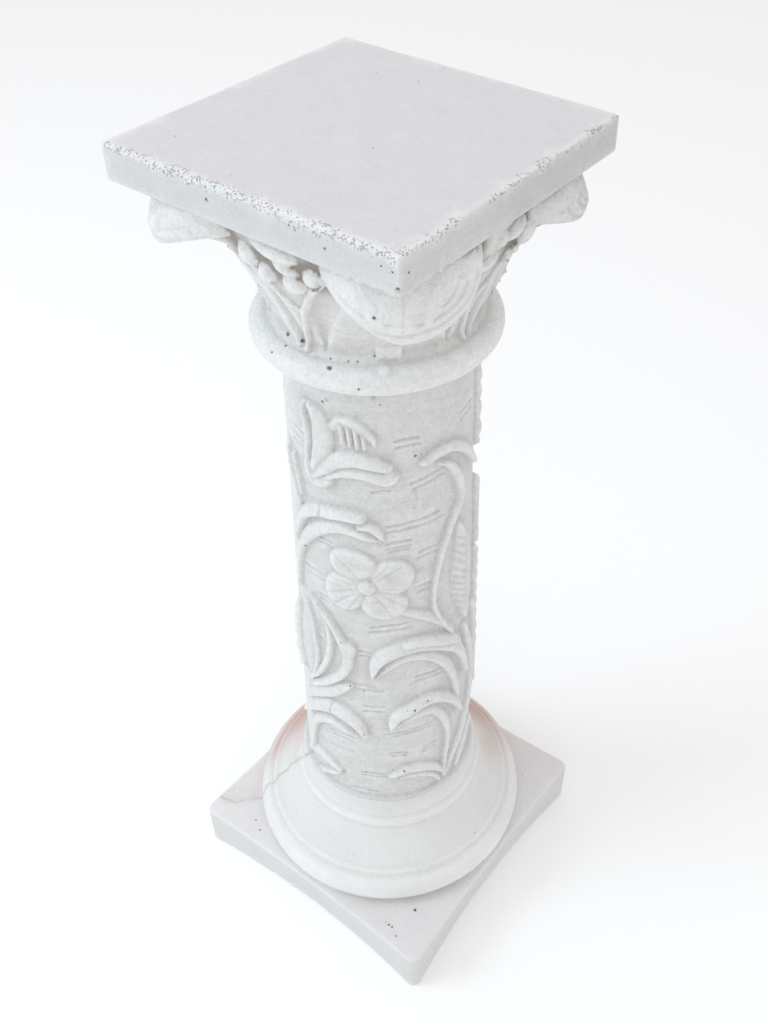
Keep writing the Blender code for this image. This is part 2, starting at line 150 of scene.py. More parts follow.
def loft(name, outlines):
    """Closed form through outlines of equally many points, in millimetres."""
    form = start(bpy.ops.mesh.primitive_circle_add, name, vertices=len(outlines[0]), fill_type="NGON")
    bpy.ops.object.mode_set(mode="EDIT")
    shape = bmesh.from_edit_mesh(form.data)
    number = shape.verts.layers.int.new("number")
    for index, point in enumerate(shape.verts):
        point[number] = index
    for level, outline in enumerate(outlines):
        if level:
            bpy.ops.mesh.extrude_region_move()
            shape = bmesh.from_edit_mesh(form.data)
            number = shape.verts.layers.int["number"]
        for point in shape.verts:
            if point.select:
                point.co = Vector(outline[point[number]]) / 1000
        bmesh.update_edit_mesh(form.data)
    return finish_form(form)


# %% [markdown]
# The slab is a plain block. On the real casting it sits about 2 mm off the axis of the shaft, and its
# arrises are just eased, so the cube gets a small bevel.

# %% Slab
def make_slab():
    form = start(
        bpy.ops.mesh.primitive_cube_add, "slab", size=SLAB_SIDE / 1000,
        location=(-SLAB_SHIFT / 1000, -SLAB_SHIFT / 1000, (HEIGHT - SLAB_THICKNESS / 2) / 1000)
    )
    form.scale.z = SLAB_THICKNESS / SLAB_SIDE
    bpy.ops.object.transform_apply(location=True, rotation=True, scale=True)
    bpy.ops.object.mode_set(mode="EDIT")
    bpy.ops.mesh.select_all(action="SELECT")
    bpy.ops.mesh.bevel(offset=ARRIS / 1000, segments=3, affect="EDGES")
    return finish_form(form)


slab = make_slab()
print("slab:", len(slab.data.polygons), "faces")

# %% [markdown]
# The plinth starts as a block too. Its sides bow in, more at the foot than at the top, so the long
# edges are cut into steps and the steps are moved in along a flat arc.

# %% Plinth
def make_plinth():
    half = (PLINTH_REACH + PLINTH_CORNER * math.sqrt(2) / 4) / math.sqrt(2)
    form = start(
        bpy.ops.mesh.primitive_cube_add, "plinth", size=2 * half / 1000,
        location=(0, 0, PLINTH_THICKNESS / 2000)
    )
    form.scale.z = PLINTH_THICKNESS / (2 * half)
    bpy.ops.object.transform_apply(location=True, rotation=True, scale=True)
    bpy.ops.object.mode_set(mode="EDIT")
    bpy.ops.mesh.select_mode(type="EDGE")
    bpy.ops.mesh.select_all(action="DESELECT")
    shape = bmesh.from_edit_mesh(form.data)
    for edge in shape.edges:
        edge.select = abs(edge.verts[0].co.z - edge.verts[1].co.z) > 1e-4
    bpy.ops.mesh.bevel(offset=PLINTH_CORNER * 0.75 / 1000, segments=6, affect="EDGES")
    bpy.ops.mesh.select_all(action="DESELECT")
    shape = bmesh.from_edit_mesh(form.data)
    for edge in shape.edges:
        edge.select = edge.calc_length() > half / 1000
    bpy.ops.mesh.subdivide(number_cuts=23)
    shape = bmesh.from_edit_mesh(form.data)
    for point in shape.verts:
        bow = mix(PLINTH_FOOT_BOW, PLINTH_TOP_BOW, point.co.z * 1000 / PLINTH_THICKNESS) / half
        x, y = point.co.x, point.co.y
        point.co.x = x * (1 - bow * (1 - (y * 1000 / half) ** 2))
        point.co.y = y * (1 - bow * (1 - (x * 1000 / half) ** 2))
    bpy.ops.mesh.select_all(action="DESELECT")
    bpy.ops.mesh.select_mode(type="VERT")
    shape = bmesh.from_edit_mesh(form.data)
    for edge in shape.edges:
        flat = abs(edge.verts[0].co.z - edge.verts[1].co.z) < 1e-4
        edge.select = flat and edge.calc_face_angle(0) > 1
    bpy.ops.mesh.bevel(offset=ARRIS / 1000, segments=2, affect="EDGES")
    return finish_form(form)


plinth = make_plinth()
print("plinth:", len(plinth.data.polygons), "faces")

# %% [markdown]
# Everything round was turned on the pattern that the mould was taken from: torus, crease, hollow,
# foot ring, bead, shaft, astragal and bell. So it is a profile spun about the axis: a point is
# extruded from place to place down the outline, and the outline is spun.

# %% Turned core
def turned_profile():
    # Half-round torus, the angle below it filled in
    profile = [(0, 48), (127.5, 48), (127.5, PLINTH_THICKNESS)]
    for step in range(17):
        angle = math.radians(mix(-58, 72, step / 16))
        profile.append((120 + 17 * math.cos(angle), 69.5 + 17 * math.sin(angle)))
    # Crease and the small roll above it
    profile += [(124.2, 85.0), (123.6, 85.2), (123.7, 87.2), (122.9, 89.2), (121.4, 90.6), (119.4, 91.4)]
    # Hollow flare
    for step in range(1, 12):
        share = step / 11
        hollow = mix(share, math.sin(share * math.pi / 2), 0.62)
        profile.append((mix(119.6, 92.6, hollow), mix(91.2, 123.0, share)))
    # Foot ring, a fine groove, and the bead that leads into the shaft
    profile += [(93.3, 124.0), (93.7, 126.0), (93.2, 128.6), (91.8, 131.0), (90.0, 132.8), (89.0, 134.0),
                (88.6, 134.8), (88.9, 136.2), (88.5, 139.5)]
    for step in range(1, 9):
        angle = math.radians(90 * step / 8)
        profile.append((mix(82.0, 88.3, math.cos(angle)), mix(141.0, SHAFT_FOOT, math.sin(angle))))
    profile += [(SHAFT_FOOT_RADIUS - 0.3, SHAFT_FOOT + 0.8), (SHAFT_TOP_RADIUS, SHAFT_TOP + 0.5)]
    # Astragal
    ring_half = RING_THICKNESS / 2
    for step in range(15):
        angle = math.radians(mix(-68, 112, step / 14))
        profile.append((RING_RADIUS - ring_half + ring_half * math.cos(angle),
                        RING_MIDDLE + ring_half * math.sin(angle)))
    for step in range(1, 16):
        height = mix(BELL_FOOT + 4, SLAB_UNDERSIDE + 4, step / 15)
        profile.append((bell_radius(height), height))
    profile.append((0, SLAB_UNDERSIDE + 4))
    return profile


def make_core():
    form = start(bpy.ops.mesh.primitive_plane_add, "turned core", size=0.01)
    bpy.ops.object.mode_set(mode="EDIT")
    bpy.ops.mesh.select_all(action="SELECT")
    bpy.ops.mesh.merge(type="CENTER")
    bpy.ops.mesh.select_mode(type="VERT")
    profile = turned_profile()
    here = (0, 0)
    for index, (radius, height) in enumerate(profile):
        step = ((radius - here[0]) / 1000, 0, (height - here[1]) / 1000)
        if index:
            bpy.ops.mesh.extrude_vertices_move(TRANSFORM_OT_translate={"value": step})
        else:
            bpy.ops.transform.translate(value=step)
        here = (radius, height)
    bpy.ops.mesh.select_all(action="SELECT")
    bpy.ops.mesh.spin(steps=128, angle=2 * math.pi, center=(0, 0, 0), axis=(0, 0, 1))
    return finish_form(form)


core = make_core()
print("turned core:", len(core.data.polygons), "faces")

# %% [markdown]
# Under each corner of the slab a shell-like leaf curls out from the bell. Seen from above, each level
# of it is a half oval, so the leaf is lofted through such outlines: out along the swollen face, round
# the lip, and back along the underside.

# %% Corner leaves
# Each level: reach and half width of the oval, height at the tip and at its sides
LEAF_LEVELS = (
    (128, 0.80, 779, 779), (135, 0.88, 777, 776), (141, 0.95, 770, 771.5), (146.5, 0.99, 761, 766),
    (149.8, 1.0, 752, 762), (151.2, 1.0, 744, 759), (150.6, 1.0, 737, 756), (148.6, 0.99, 731.5, 753.5),
    (145.6, 0.97, 728.4, 752), (141.5, 0.94, 728.2, 751), (136, 0.91, 730.6, 750), (129, 0.88, 733, 749),
    (121, 0.86, 734.5, 746), (113, 0.85, 734.5, 742), (104, 0.85, 732, 737), (96, 0.84, 726.5, 729),
    (89, 0.82, 717, 718), (83, 0.76, 704, 704), (77, 0.64, 690, 690),
)
LEAF_ROOT = 75
LEAF_CORE = 45
LEAF_STEPS = 40
# For the two halves of a leaf: its width, and how round its outline is
LEAF_HALF_WIDTHS = (45, 57)
LEAF_ROUNDNESS = (0.8, 0.68)


def leaf_outline(reach, width, tip_height, side_height, droops):
    outline = []
    for step in range(LEAF_STEPS + 1):
        angle = math.radians(mix(-90, 90, step / LEAF_STEPS))
        side = math.sin(angle)
        half = 1 if side > 0 else 0
        out = LEAF_ROOT + (reach - LEAF_ROOT) * abs(math.cos(angle)) ** LEAF_ROUNDNESS[half]
        height = mix(tip_height, side_height, abs(side) ** droops[half])
        outline.append((out, LEAF_HALF_WIDTHS[half] * width * side, height))
    outline.append((LEAF_CORE, 0, side_height))
    return outline


def make_leaf(turn, hand, droops, shorter):
    outlines = []
    for sizes in LEAF_LEVELS:
        outline = []
        for out, across, height in leaf_outline(*sizes, droops):
            out -= shorter * smooth_step((out - 110) / 35)
            outline.append((*turned(out, across * hand, turn), height))
        outlines.append(outline)
    return loft("leaf", outlines)


# How squarely each half of the lip hangs, and how much shorter the leaf is, in millimetres
LEAF_VARIANTS = (((1.25, 1.25), 4), ((1.6, 1.6), 2), ((1.3, 1.3), 0), ((1.35, 2.5), 0))
leaves = []
for corner, (droops, shorter) in enumerate(LEAF_VARIANTS):
    leaves.append(make_leaf(math.radians(45 + 90 * corner), 1 if corner % 2 else -1, droops, shorter))
print("leaves:", len(leaves))

# %% [markdown]
# Between the leaves, each face of the capital has a small cluster of rounded petals and berries just
# under the slab. They are squashed and tilted spheres that sink into the bell.

# %% Clusters
# Each: along the face, out from the axis, height, half sizes along, out and up, tilt in degrees
CLUSTER = (
    (4, 101, 760, 20, 10, 8.5, -12), (12, 100, 749, 11, 8, 5, -18), (-19, 98, 748, 10, 9, 10, 12),
    (-6, 98, 738.5, 6.2, 8, 8.5, 0), (17, 98, 738, 9.5, 8.5, 7.5, -12), (30, 95, 746, 8.5, 8, 9, 0),
)
RIGHT_CLUSTER = (
    (0, 99, 755, 8, 9, 8.5, 0), (13, 101, 757, 13, 9.5, 7.5, 20), (29, 101, 750, 7.5, 9, 12.5, -24),
    (14, 97, 735, 4.2, 6, 5, 0), (21, 98, 737, 4, 5.5, 4.2, 0), (-8, 95, 741, 13, 9, 7, 14),
)


def make_cluster(turn, hand, lobes):
    forms = []
    for along, out, height, length, depth, tall, tilt in lobes:
        form = start(bpy.ops.mesh.primitive_uv_sphere_add, "petal", segments=24, ring_count=14, radius=0.001)
        form.scale = (depth, length, tall)
        form.rotation_euler = (math.radians(tilt * hand), 0, turn)
        form.location = Vector((*turned(out, along * hand, turn), height)) / 1000
        bpy.ops.object.transform_apply(location=True, rotation=True, scale=True)
        forms.append(form)
    return forms


clusters = make_cluster(0, 1, RIGHT_CLUSTER)
for side in (1, 2, 3):
    clusters += make_cluster(math.pi / 2 * side, 1 if side % 2 else -1, CLUSTER)
print("cluster forms:", len(clusters))

# %% [markdown]
# Below the tip of each corner leaf a small square tab stands on the astragal, left by the mould. One
# cube on each diagonal is enough, because most of it is sunk in the bell.

# %% Tabs where the corner leaves meet the astragal
TAB_SIZE = (8, 17, 8)
TAB_PLACE = (75, 677)
tabs = []
for corner in range(4):
    turn = math.radians(45 + 90 * corner)
    form = start(bpy.ops.mesh.primitive_cube_add, "tab", size=0.001)
    form.scale = TAB_SIZE
    form.rotation_euler.z = turn
    form.location = Vector((*turned(TAB_PLACE[0], 0, turn), TAB_PLACE[1])) / 1000
    bpy.ops.object.transform_apply(location=True, rotation=True, scale=True)
    tabs.append(form)
print("tabs:", len(tabs))

# %% [markdown]
# A casting has no joints: where two forms meet, the mix filled the angle with a small round. Joining
# all forms and remeshing them with small voxels does just that, and gives one closed skin that is fine
# enough to carve.

# %% One skin
def one_skin(forms):
    bpy.ops.object.select_all(action="DESELECT")
    for form in forms:
        form.select_set(True)
    bpy.context.view_layer.objects.active = forms[0]
    bpy.ops.object.join()
    skin = bpy.context.object
    skin.name = "column_cast"
    remesh = skin.modifiers.new("one skin", "REMESH")
    remesh.mode = "VOXEL"
    remesh.voxel_size = VOXEL / 1000
    bpy.ops.object.modifier_apply(modifier=remesh.name)
    return skin


column = one_skin([core, slab, plinth, *leaves, *clusters, *tabs])
print("skin:", len(column.data.polygons), "faces")

# %% [markdown]
# The relief is carved as a sculptor would: along strokes. A stroke is a smooth line with a width that
# changes along it, laid on the unrolled surface, and a rounded section with one steep and one soft
# side. Where strokes overlap, the higher one wins.

# %% Stroke carving
def smooth_line(points, spacing):
    """Stations on a Catmull-Rom curve through the points, about this far apart."""
    rows = np.array(points, float)
    rows = np.vstack([2 * rows[0] - rows[1], rows, 2 * rows[-1] - rows[-2]])
    length = np.hypot(*np.diff(rows[1:-1, :2], axis=0).T).sum()
    count = max(6, int(length / spacing))
    place = np.linspace(0, len(rows) - 3 - 1e-9, count + 1)
    index = place.astype(int)
    share = (place - index)[:, None]
    before, first, second, after = (rows[index + step] for step in range(4))
    return 0.5 * (
        2 * first + (second - before) * share
        + (2 * before - 5 * first + 4 * second - after) * share ** 2
        + (3 * first - before - 3 * second + after) * share ** 3
    )


def across_line(across, up, line):
    """For each point near the line: its side distance over the half width, and the half width there."""
    reach = line[:, 2].max() + 1
    near = (across > line[:, 0].min() - reach) & (across < line[:, 0].max() + reach)
    near &= (up > line[:, 1].min() - reach) & (up < line[:, 1].max() + reach)
    chosen = np.nonzero(near)[0]
    best = np.full(len(chosen), 1e9)
    side = np.zeros(len(chosen))
    half = np.ones(len(chosen))
    x, y = across[chosen], up[chosen]
    for (ax, ay, aw), (bx, by, bw) in zip(line, line[1:]):
        dx, dy = bx - ax, by - ay
        size = dx * dx + dy * dy + 1e-12
        share = np.clip(((x - ax) * dx + (y - ay) * dy) / size, 0, 1)
        ox, oy = x - ax - share * dx, y - ay - share * dy
        distance = np.hypot(ox, oy)
        width = np.maximum(mix(aw, bw, share), 0.05)
        score = distance / width
        closer = score < best
        best = np.where(closer, score, best)
        side = np.where(closer, np.sign(dx * oy - dy * ox), side)
        half = np.where(closer, width, half)
    inside = best < 1
    return chosen[inside], (best * side)[inside], half[inside]


def rounded(side, lean):
    """Section of a stroke: 1 at its crest, which lies at lean, and 0 at both edges."""
    share = np.where(side > lean, (side - lean) / (1 - lean), (lean - side) / (1 + lean))
    return (1 - np.clip(share, 0, 1) ** 2) ** 0.7


def carve(height_map, across, up, radius, strokes):
    """Raises the map to each stroke's section, or lowers it where the rise is negative."""
    for stroke, rise, lean in strokes:
        placed = [(math.radians(degrees) * radius(level), level, half) for degrees, level, half in stroke]
        line = smooth_line(placed, 2.5)
        chosen, side, half = across_line(across, up, line)
        narrow = np.clip(half / (0.45 * line[:, 2].max()), 0, 1) ** 0.5
        section = rounded(side, lean) * narrow * abs(rise)
        if rise > 0:
            height_map[chosen] = np.maximum(height_map[chosen], section)
        else:
            height_map[chosen] -= section


# %% [markdown]
# The strokes of the shaft. Points are degrees round the shaft, millimetres up and half width in
# millimetres. Then come the rise, and where the crest lies between the right (-1) and the left (1) of
# the stroke's way. The front corner of the slab is at -45 degrees. Near each edge of the shaft, as the
# camera sees it, lie leaves that only show on its outline.

# %% Strokes of the shaft
SPRAY = (
    (((-95, 619, 1.5), (-89.5, 615, 5), (-86, 606, 8.5), (-85, 596, 9.8), (-85.7, 585, 9), (-88.5, 573, 6.6),
      (-91.5, 561, 4)), 5.8, -0.2),
    (((-97, 620, 1.4), (-98.5, 610, 2.4), (-96.8, 598, 3), (-95.8, 586, 3), (-97.2, 573, 2.6), (-96, 564, 2)),
     4.6, 0),
    (((-96.5, 566, 3), (-95, 556, 5.5), (-91, 550.5, 7), (-86, 551, 6.6), (-81.5, 555, 4)), 6.2, 0),
    (((-91, 556, 4.5), (-84, 566, 6.5), (-76, 576, 7.4), (-66, 580, 7.6), (-57, 578.5, 6.8),
      (-50, 575.5, 5.2), (-46, 574, 3)), 6.0, -0.4),
    (((-86, 555, 3), (-80, 561, 3.8), (-72, 566.5, 4.8), (-62, 567.5, 5.4), (-54, 564.5, 5.6),
      (-48, 562.5, 6.6), (-45.5, 564.5, 7)), 5.2, -0.4),
    (((-120, 562, 2), (-118, 542, 3), (-113, 527, 3), (-108, 513, 2.4)), 4.2, 0),
    (((-112, 558, 2), (-109, 541, 2.6), (-105, 524, 2.2)), 3.8, 0),
    (((-78, 606, 4.5), (-73, 611.5, 5.5), (-67, 612, 6), (-60.5, 607, 5), (-56, 600.5, 4)), 3.0, 0.2),
    (((-73.5, 610, 2.1), (-72.5, 602, 2.2), (-71.8, 593, 1.8)), 4.4, 0),
    (((-69, 608, 2.0), (-68.2, 601, 2.1), (-67.6, 592, 1.7)), 4.2, 0),
    (((-64.8, 607, 2.0), (-64.2, 600, 2.1), (-63.6, 591, 1.7)), 4.2, 0),
    (((-60.6, 603, 1.9), (-60, 598, 2.0), (-59.6, 591, 1.7)), 4.0, 0),
    (((-55, 603, 2.2), (-54.4, 599, 2.4), (-54, 594, 1.8)), 3.6, 0),
)
UPPER_SCROLLS = (
    (((-63.5, 524, 5.4), (-70, 524, 6), (-77, 523, 6.2), (-85, 521, 6.2), (-92, 518, 6.2), (-100, 511, 6),
      (-106, 501, 5.4), (-110, 488, 5), (-113, 472, 4)), 6.0, 0.45),
    (((-50, 499, 0.6), (-56, 501.5, 1.8), (-62.5, 505, 3.2), (-71, 508.5, 4.6), (-81, 506.7, 5.8),
      (-92.5, 497, 6.4), (-103.5, 480, 6.6), (-111, 461, 6), (-115, 440, 5), (-117, 412, 3.6)), 4.8, 0.35),
    (((-64, 514, 3.2), (-57.5, 514.5, 5), (-53, 508, 3.8), (-50.3, 500.5, 0.8)), 4.4, -0.2),
    (((-28.5, 572, 1.4), (-23, 574.8, 3.2), (-17, 577.6, 4), (-8, 577, 4.6), (2, 569.5, 5), (12, 556, 5),
      (20.5, 539, 4.4)), 6.2, -0.45),
    (((-19, 567.5, 1), (-10, 562, 3), (-3, 551, 4.5), (2.5, 535, 5.6), (4, 519, 5), (-1.5, 506, 4.6),
      (-7, 493, 4), (-12, 477, 3.5), (-15.7, 461, 3.1), (-18, 445, 2.9), (-19.5, 430, 2.7), (-19, 415, 2.7),
      (-16, 400, 2.9), (-11, 385, 3), (-5, 370, 3)), 4.8, -0.1),
)
FEATHERED_LEAF = (
    (((2, 489, 3), (4, 474, 8), (5.5, 458, 12.5), (6.5, 440, 15.5), (7, 422, 15.5), (8, 404, 13),
      (9, 388, 8.5), (10, 371, 3)), 5.2, 0.2),
)
FLOWER_STALK = ((((-42, 421, 3.6), (-34, 415, 4.8), (-25, 406.5, 5.4), (-17, 396, 5), (-10, 384, 4.5),
                  (-5, 373, 4)), 3.6, -0.35),)
MOON_LEAF = (
    (((-101, 412, 2), (-94, 405.5, 3.2), (-87.5, 396, 4.2), (-82, 383.5, 5.2), (-77.5, 370, 6.5),
      (-75.3, 358.5, 6.2), (-76.5, 346, 5.6), (-80.5, 333, 5), (-87, 321, 4.6), (-95, 309, 4),
      (-104, 297, 3)), 6.0, 0.45),
    (((-77, 376, 4), (-73.5, 372, 5.4), (-73, 365, 4.6)), 6.6, 0),
    (((-92, 398, 1.8), (-89, 385, 3.2), (-88.3, 368, 4), (-90, 350, 4.2), (-93.5, 334, 4), (-101, 313, 3.4),
      (-109, 298, 2.4)), 4.4, 0.3),
    (((-108, 398, 1.8), (-103.5, 384, 2.6), (-101.5, 365, 3), (-100, 345, 3), (-101.5, 326, 3),
      (-106, 304, 2.4)), 3.8, 0.3),
    (((-72.3, 323.3, 0.9), (-77, 318.5, 4.2), (-84, 309.5, 7), (-92, 299.5, 7.4), (-101, 288, 6.6),
      (-111, 272, 4.6)), 5.4, 0.45),
)
LOWER_SCROLLS = (
    (((-60, 336, 0.9), (-59.2, 346, 3.6), (-57, 358, 6), (-51, 368.5, 8), (-42, 374.5, 8.2), (-31, 376, 8.4),
      (-20, 370, 8.4), (-10, 359.5, 7.8), (-2, 348, 7), (4, 334.5, 6.4), (8, 320, 5.8), (11, 300, 5)),
     6.6, -0.5),
    (((-38.5, 379.5, 4.6), (-32, 380.5, 5.6), (-24, 377, 6), (-16, 371, 6), (-8, 364, 6), (-1, 356, 4.6)),
     8.0, -0.3),
    (((-58, 336.5, 0.8), (-50.5, 350.5, 2.4), (-42, 359.5, 3.2), (-33, 361, 3.8), (-23, 355, 4.8),
      (-13, 340, 5.6), (-6, 322, 5.6), (-1.5, 302, 5), (1, 281, 4.6), (2, 260, 3.8)), 4.8, -0.45),
    (((-49.3, 264.5, 0.9), (-48, 275, 4), (-44.5, 285, 6.2), (-37, 292.5, 7.4), (-29, 297.5, 7.2),
      (-21, 298, 6.6), (-13, 291, 6), (-6, 280, 5.4), (0, 267, 5), (4, 252, 4)), 6.8, -0.5),
    (((-47, 266.5, 0.8), (-40, 275.5, 2.2), (-33, 281, 3.2), (-25, 281.5, 4.2), (-17, 273, 4.8),
      (-11, 256.5, 5), (-8, 237, 4.6), (-8.5, 216, 4), (-10.5, 195, 3.6), (-12, 175, 3)), 4.8, -0.4),
    (((-65.3, 256, 3), (-68, 265, 5), (-72.5, 273.5, 7), (-79, 279.5, 8.2), (-87, 281, 8.2), (-95, 276, 7.8),
      (-103, 267, 7.4), (-111, 255, 6.6), (-118, 241, 5)), 6.6, 0.5),
    (((-69.5, 250.5, 1.4), (-79, 256, 3), (-88, 258.5, 4.6), (-97, 253, 5.4), (-105, 241, 5.4),
      (-110, 223, 5), (-111.5, 203, 4.6), (-112.5, 186, 4)), 4.8, 0.3),
)
FOOT_LEAVES = (
    (((-83, 187, 0.7), (-88, 188.5, 3), (-94, 191.5, 5), (-101, 193, 5.8), (-108, 190, 5.6),
      (-116, 182, 4.4)), 4.6, 0.3),
    (((-83.5, 184.5, 0.7), (-90, 177.5, 3), (-97, 171, 3.4), (-106, 162, 3)), 3.8, 0.2),
    (((-51.7, 192.8, 0.8), (-46, 198.5, 3.6), (-40, 202, 5.4), (-33, 202, 6), (-26, 198.5, 5.6),
      (-19, 191, 4.6), (-14, 181, 3.6)), 5.0, -0.45),
    (((-46, 189, 0.8), (-39, 191, 2.4), (-32, 189.5, 3), (-25, 184.5, 3), (-19, 176, 3), (-15, 165, 3)),
     3.4, -0.3),
    (((-12, 168, 2), (-8, 182, 3.4), (-1, 198, 4), (6, 214, 4.6), (12, 230, 5), (18, 242, 5)), 5.0, -0.2),
    (((0, 168, 2.4), (6, 184, 4), (13, 197, 5), (21, 206, 5)), 4.4, -0.2),
)
# Strands and leaves that show on the outline of the shaft, at its left and right edges
EDGE_LEAVES = (
    (((9, 360, 3.6), (15, 336, 5), (20, 310, 5.2), (22, 285, 5), (21, 262, 4.4), (16, 242, 3.6)), 5.0, 0),
    (((22, 372, 3.6), (28, 350, 5), (31, 325, 5.4), (31, 300, 5), (28, 278, 3.6)), 5.2, 0),
    (((34, 505, 2.4), (38, 490, 6), (40, 468, 7.5), (39, 446, 6.5), (35, 430, 2.6)), 6.2, 0),
    (((36, 268, 3), (38, 254, 5.4), (36, 240, 3)), 5.4, 0),
)
SCALLOPED_LEAVES = (
    (((34, 628, 3), (38, 612, 6.5), (40, 590, 7.5), (40, 566, 7), (36, 540, 3.6)), 6.6, 0),
    (((35, 424, 3), (39, 400, 7), (40, 370, 8), (40, 340, 7.5), (39, 312, 6.5), (36, 288, 3)), 6.4, 0),
    (((-121, 384, 2), (-124, 373, 5), (-128, 358, 6.6), (-129, 338, 7), (-127, 318, 6), (-121, 301, 4)),
     6.2, 0),
)
GROUPS = (SPRAY, UPPER_SCROLLS, FEATHERED_LEAF, FLOWER_STALK, MOON_LEAF, LOWER_SCROLLS, FOOT_LEAVES)
RING_MARKS = (
    (((-90, 527, 0.8), (-88.4, 520, 0.9), (-89, 513, 0.8)), -1.5, 0),
    (((-87.5, 289, 0.8), (-89, 281, 0.9), (-88, 273, 0.8)), -1.5, 0),
)
print("strokes:", sum(map(len, GROUPS)), "and at the edges:", len(EDGE_LEAVES) + len(SCALLOPED_LEAVES))

# %% [markdown]
# Between the scrolls the background has short scratches, mostly in pairs, as if drawn with a
# toothed tool. Each is a thin stroke that is cut in.

# %% Scratches
# Degrees from and to, height at both ends
SCRATCHES = (
    (-43, -27, 595.5, 595), (-43, -27, 589, 589.5), (3, 20, 597, 597), (3, 20, 590, 590),
    (-116, -100, 584, 583), (-116, -100, 577, 576), (-115, -99, 571, 570), (-57, -45, 548, 549),
    (-34, -11, 553, 557), (-33, -10, 547, 551), (-50, -14, 512.5, 515.5), (-50, -9, 507, 508.5),
    (-50, -33, 495, 496), (-50, -33, 489.5, 490), (-48, -34, 486, 486.5), (-95, -82, 486, 487),
    (-95, -82, 481, 481.5), (-30, -14, 480, 481), (-30, -15, 474, 475), (-108, -92, 442, 445),
    (-108, -90, 436, 438), (-32, -20, 441, 442), (-31, -19, 435, 436), (-97, -83, 419, 420),
    (-96, -82, 414, 415), (-61, -36, 399, 403), (-61, -33, 393, 397), (-70, -60, 366.5, 367),
    (-70, -60, 361, 361.5), (-100, -94, 362, 362), (-33, -12, 331, 326), (-34, -11, 325, 320.5),
    (-70, -58, 322.5, 322), (-71, -53, 316, 316.5), (-67, -52, 294, 295), (-67, -51, 287, 287.5),
    (-55, -20, 255, 259), (-48, -21, 252, 254), (-95, -73, 239, 244), (-92, -76, 235, 238),
    (-50, -38, 227, 225.5), (-49, -39, 222, 222), (-28, -16, 225, 226), (-28, -17, 220, 221),
    (-95, -75, 216, 221), (-70, -52, 194, 195), (-70, -51, 189, 190), (-80, -58, 165, 166),
)


def scratch_strokes():
    strokes = []
    for start_degrees, end_degrees, start_height, end_height in SCRATCHES:
        points = []
        for share, half in ((0, 0.4), (0.15, 1.4), (0.5, 1.5), (0.85, 1.4), (1, 0.4)):
            bend = 0.8 * math.sin(math.pi * share)
            points.append((
                mix(start_degrees, end_degrees, share), mix(start_height, end_height, share) + bend, half
            ))
        strokes.append((points, -1.6, 0.3))
    return strokes


print("scratches:", len(SCRATCHES))

# %% [markdown]
# The flower has four cupped petals round a knobbly boss. A petal is an oval with a raised rim and a
# dished middle, scored by grooves that run out from the boss.

# %% Flower
FLOWER_CENTRE = (-61, 450)
# Each petal: degrees and height of its middle, half sizes across and up, directions of its grooves
PETALS = (
    (-70, 471.5, 20.5, 17, (128,)),
    (-76, 438.5, 18, 21, (176, 205, 222, 240)),
    (-51, 429, 20, 17, (300, 322)),
    (-45.5, 459.5, 18.5, 20, (40, 56, -6, -20)),
)


def flower(across, up, radius):
    centre = math.radians(FLOWER_CENTRE[0]) * radius(FLOWER_CENTRE[1])
    found = np.zeros(len(across))
    near = np.hypot(across - centre, up - FLOWER_CENTRE[1]) < 55
    x, y = across[near] - centre, up[near] - FLOWER_CENTRE[1]
    direction = np.degrees(np.arctan2(y, x))
    distance = np.hypot(x, y)
    total = np.zeros(len(x))
    for degrees, level, half_x, half_y, grooves in PETALS:
        middle_x = math.radians(degrees) * radius(level) - centre
        middle_y = level - FLOWER_CENTRE[1]
        away = math.hypot(middle_x, middle_y)
        oval = np.hypot((x - middle_x) / half_x, (y - middle_y) / half_y)
        edge = (1 - np.clip(oval, 0, 1) ** 7) ** 0.8
        dish = 1 - smooth_step(oval / 0.8)
        outward = ((x - middle_x) * middle_x + (y - middle_y) * middle_y) / (away * max(half_x, half_y))
        petal = edge * (4.3 + 1.2 * outward - 1.7 * dish)
        for groove in grooves:
            turn = (direction - groove + 180) % 360 - 180
            line = np.exp(-((turn * np.pi / 180 * distance) / 0.95) ** 2)
            petal -= line * smooth_step((distance - 9) / 5) * smooth_step((1 - oval) * 3) * 0.9
        total = np.maximum(total, petal)
    total = np.maximum(total, 1.6 * smooth_step((17 - distance) / 5))
    boss = np.hypot(x / 8, y / 7.4)
    knob = (1 - np.clip(boss, 0, 1) ** 2.4) ** 0.5 * 7.6
    knob -= (boss < 1) * 0.5 * np.cos(x * 1.25 + 0.6) * np.cos(y * 1.15)
    found[near] = np.maximum(total, knob)
    return found


# %% [markdown]
# On the bell, a rib rises in the middle of each face, forks, and runs up to the cluster and to the
# next leaf. Beside it lies a pointed leaf with nested crescents. Neighbouring faces mirror each other.

# %% Strokes of one face of the bell
# Degrees are counted from the middle of the face
BELL_STROKES = (
    (((1.5, 664, 2), (2.5, 677, 2.4), (3.5, 689, 2.4), (5.5, 702, 2.6), (7.5, 710, 3)), 3.6, -0.2),
    (((6.5, 707, 2.8), (10, 716, 2.8), (14, 728, 3.2), (20, 742, 4), (25, 752, 4.4)), 3.8, -0.2),
    (((6, 706, 2.6), (1, 713, 2.8), (-4, 721, 3.2), (-8, 732, 4)), 3.0, 0),
    (((-2.5, 668, 1.4), (-7, 682, 7), (-13, 694, 11), (-19, 707, 12), (-25, 720, 10), (-30, 732, 6)), 2.8, 0),
)
BELL_CUTS = (
    (((-1.2, 667, 1), (-3.5, 683, 3), (-6.5, 697, 3.4), (-9, 710, 3.4), (-11, 722, 3)), -3.2, 0),
    (((12, 672, 0.5), (12.5, 690, 5), (14, 704, 9), (18, 718, 10), (24, 734, 8)), -3.0, 0.3),
)
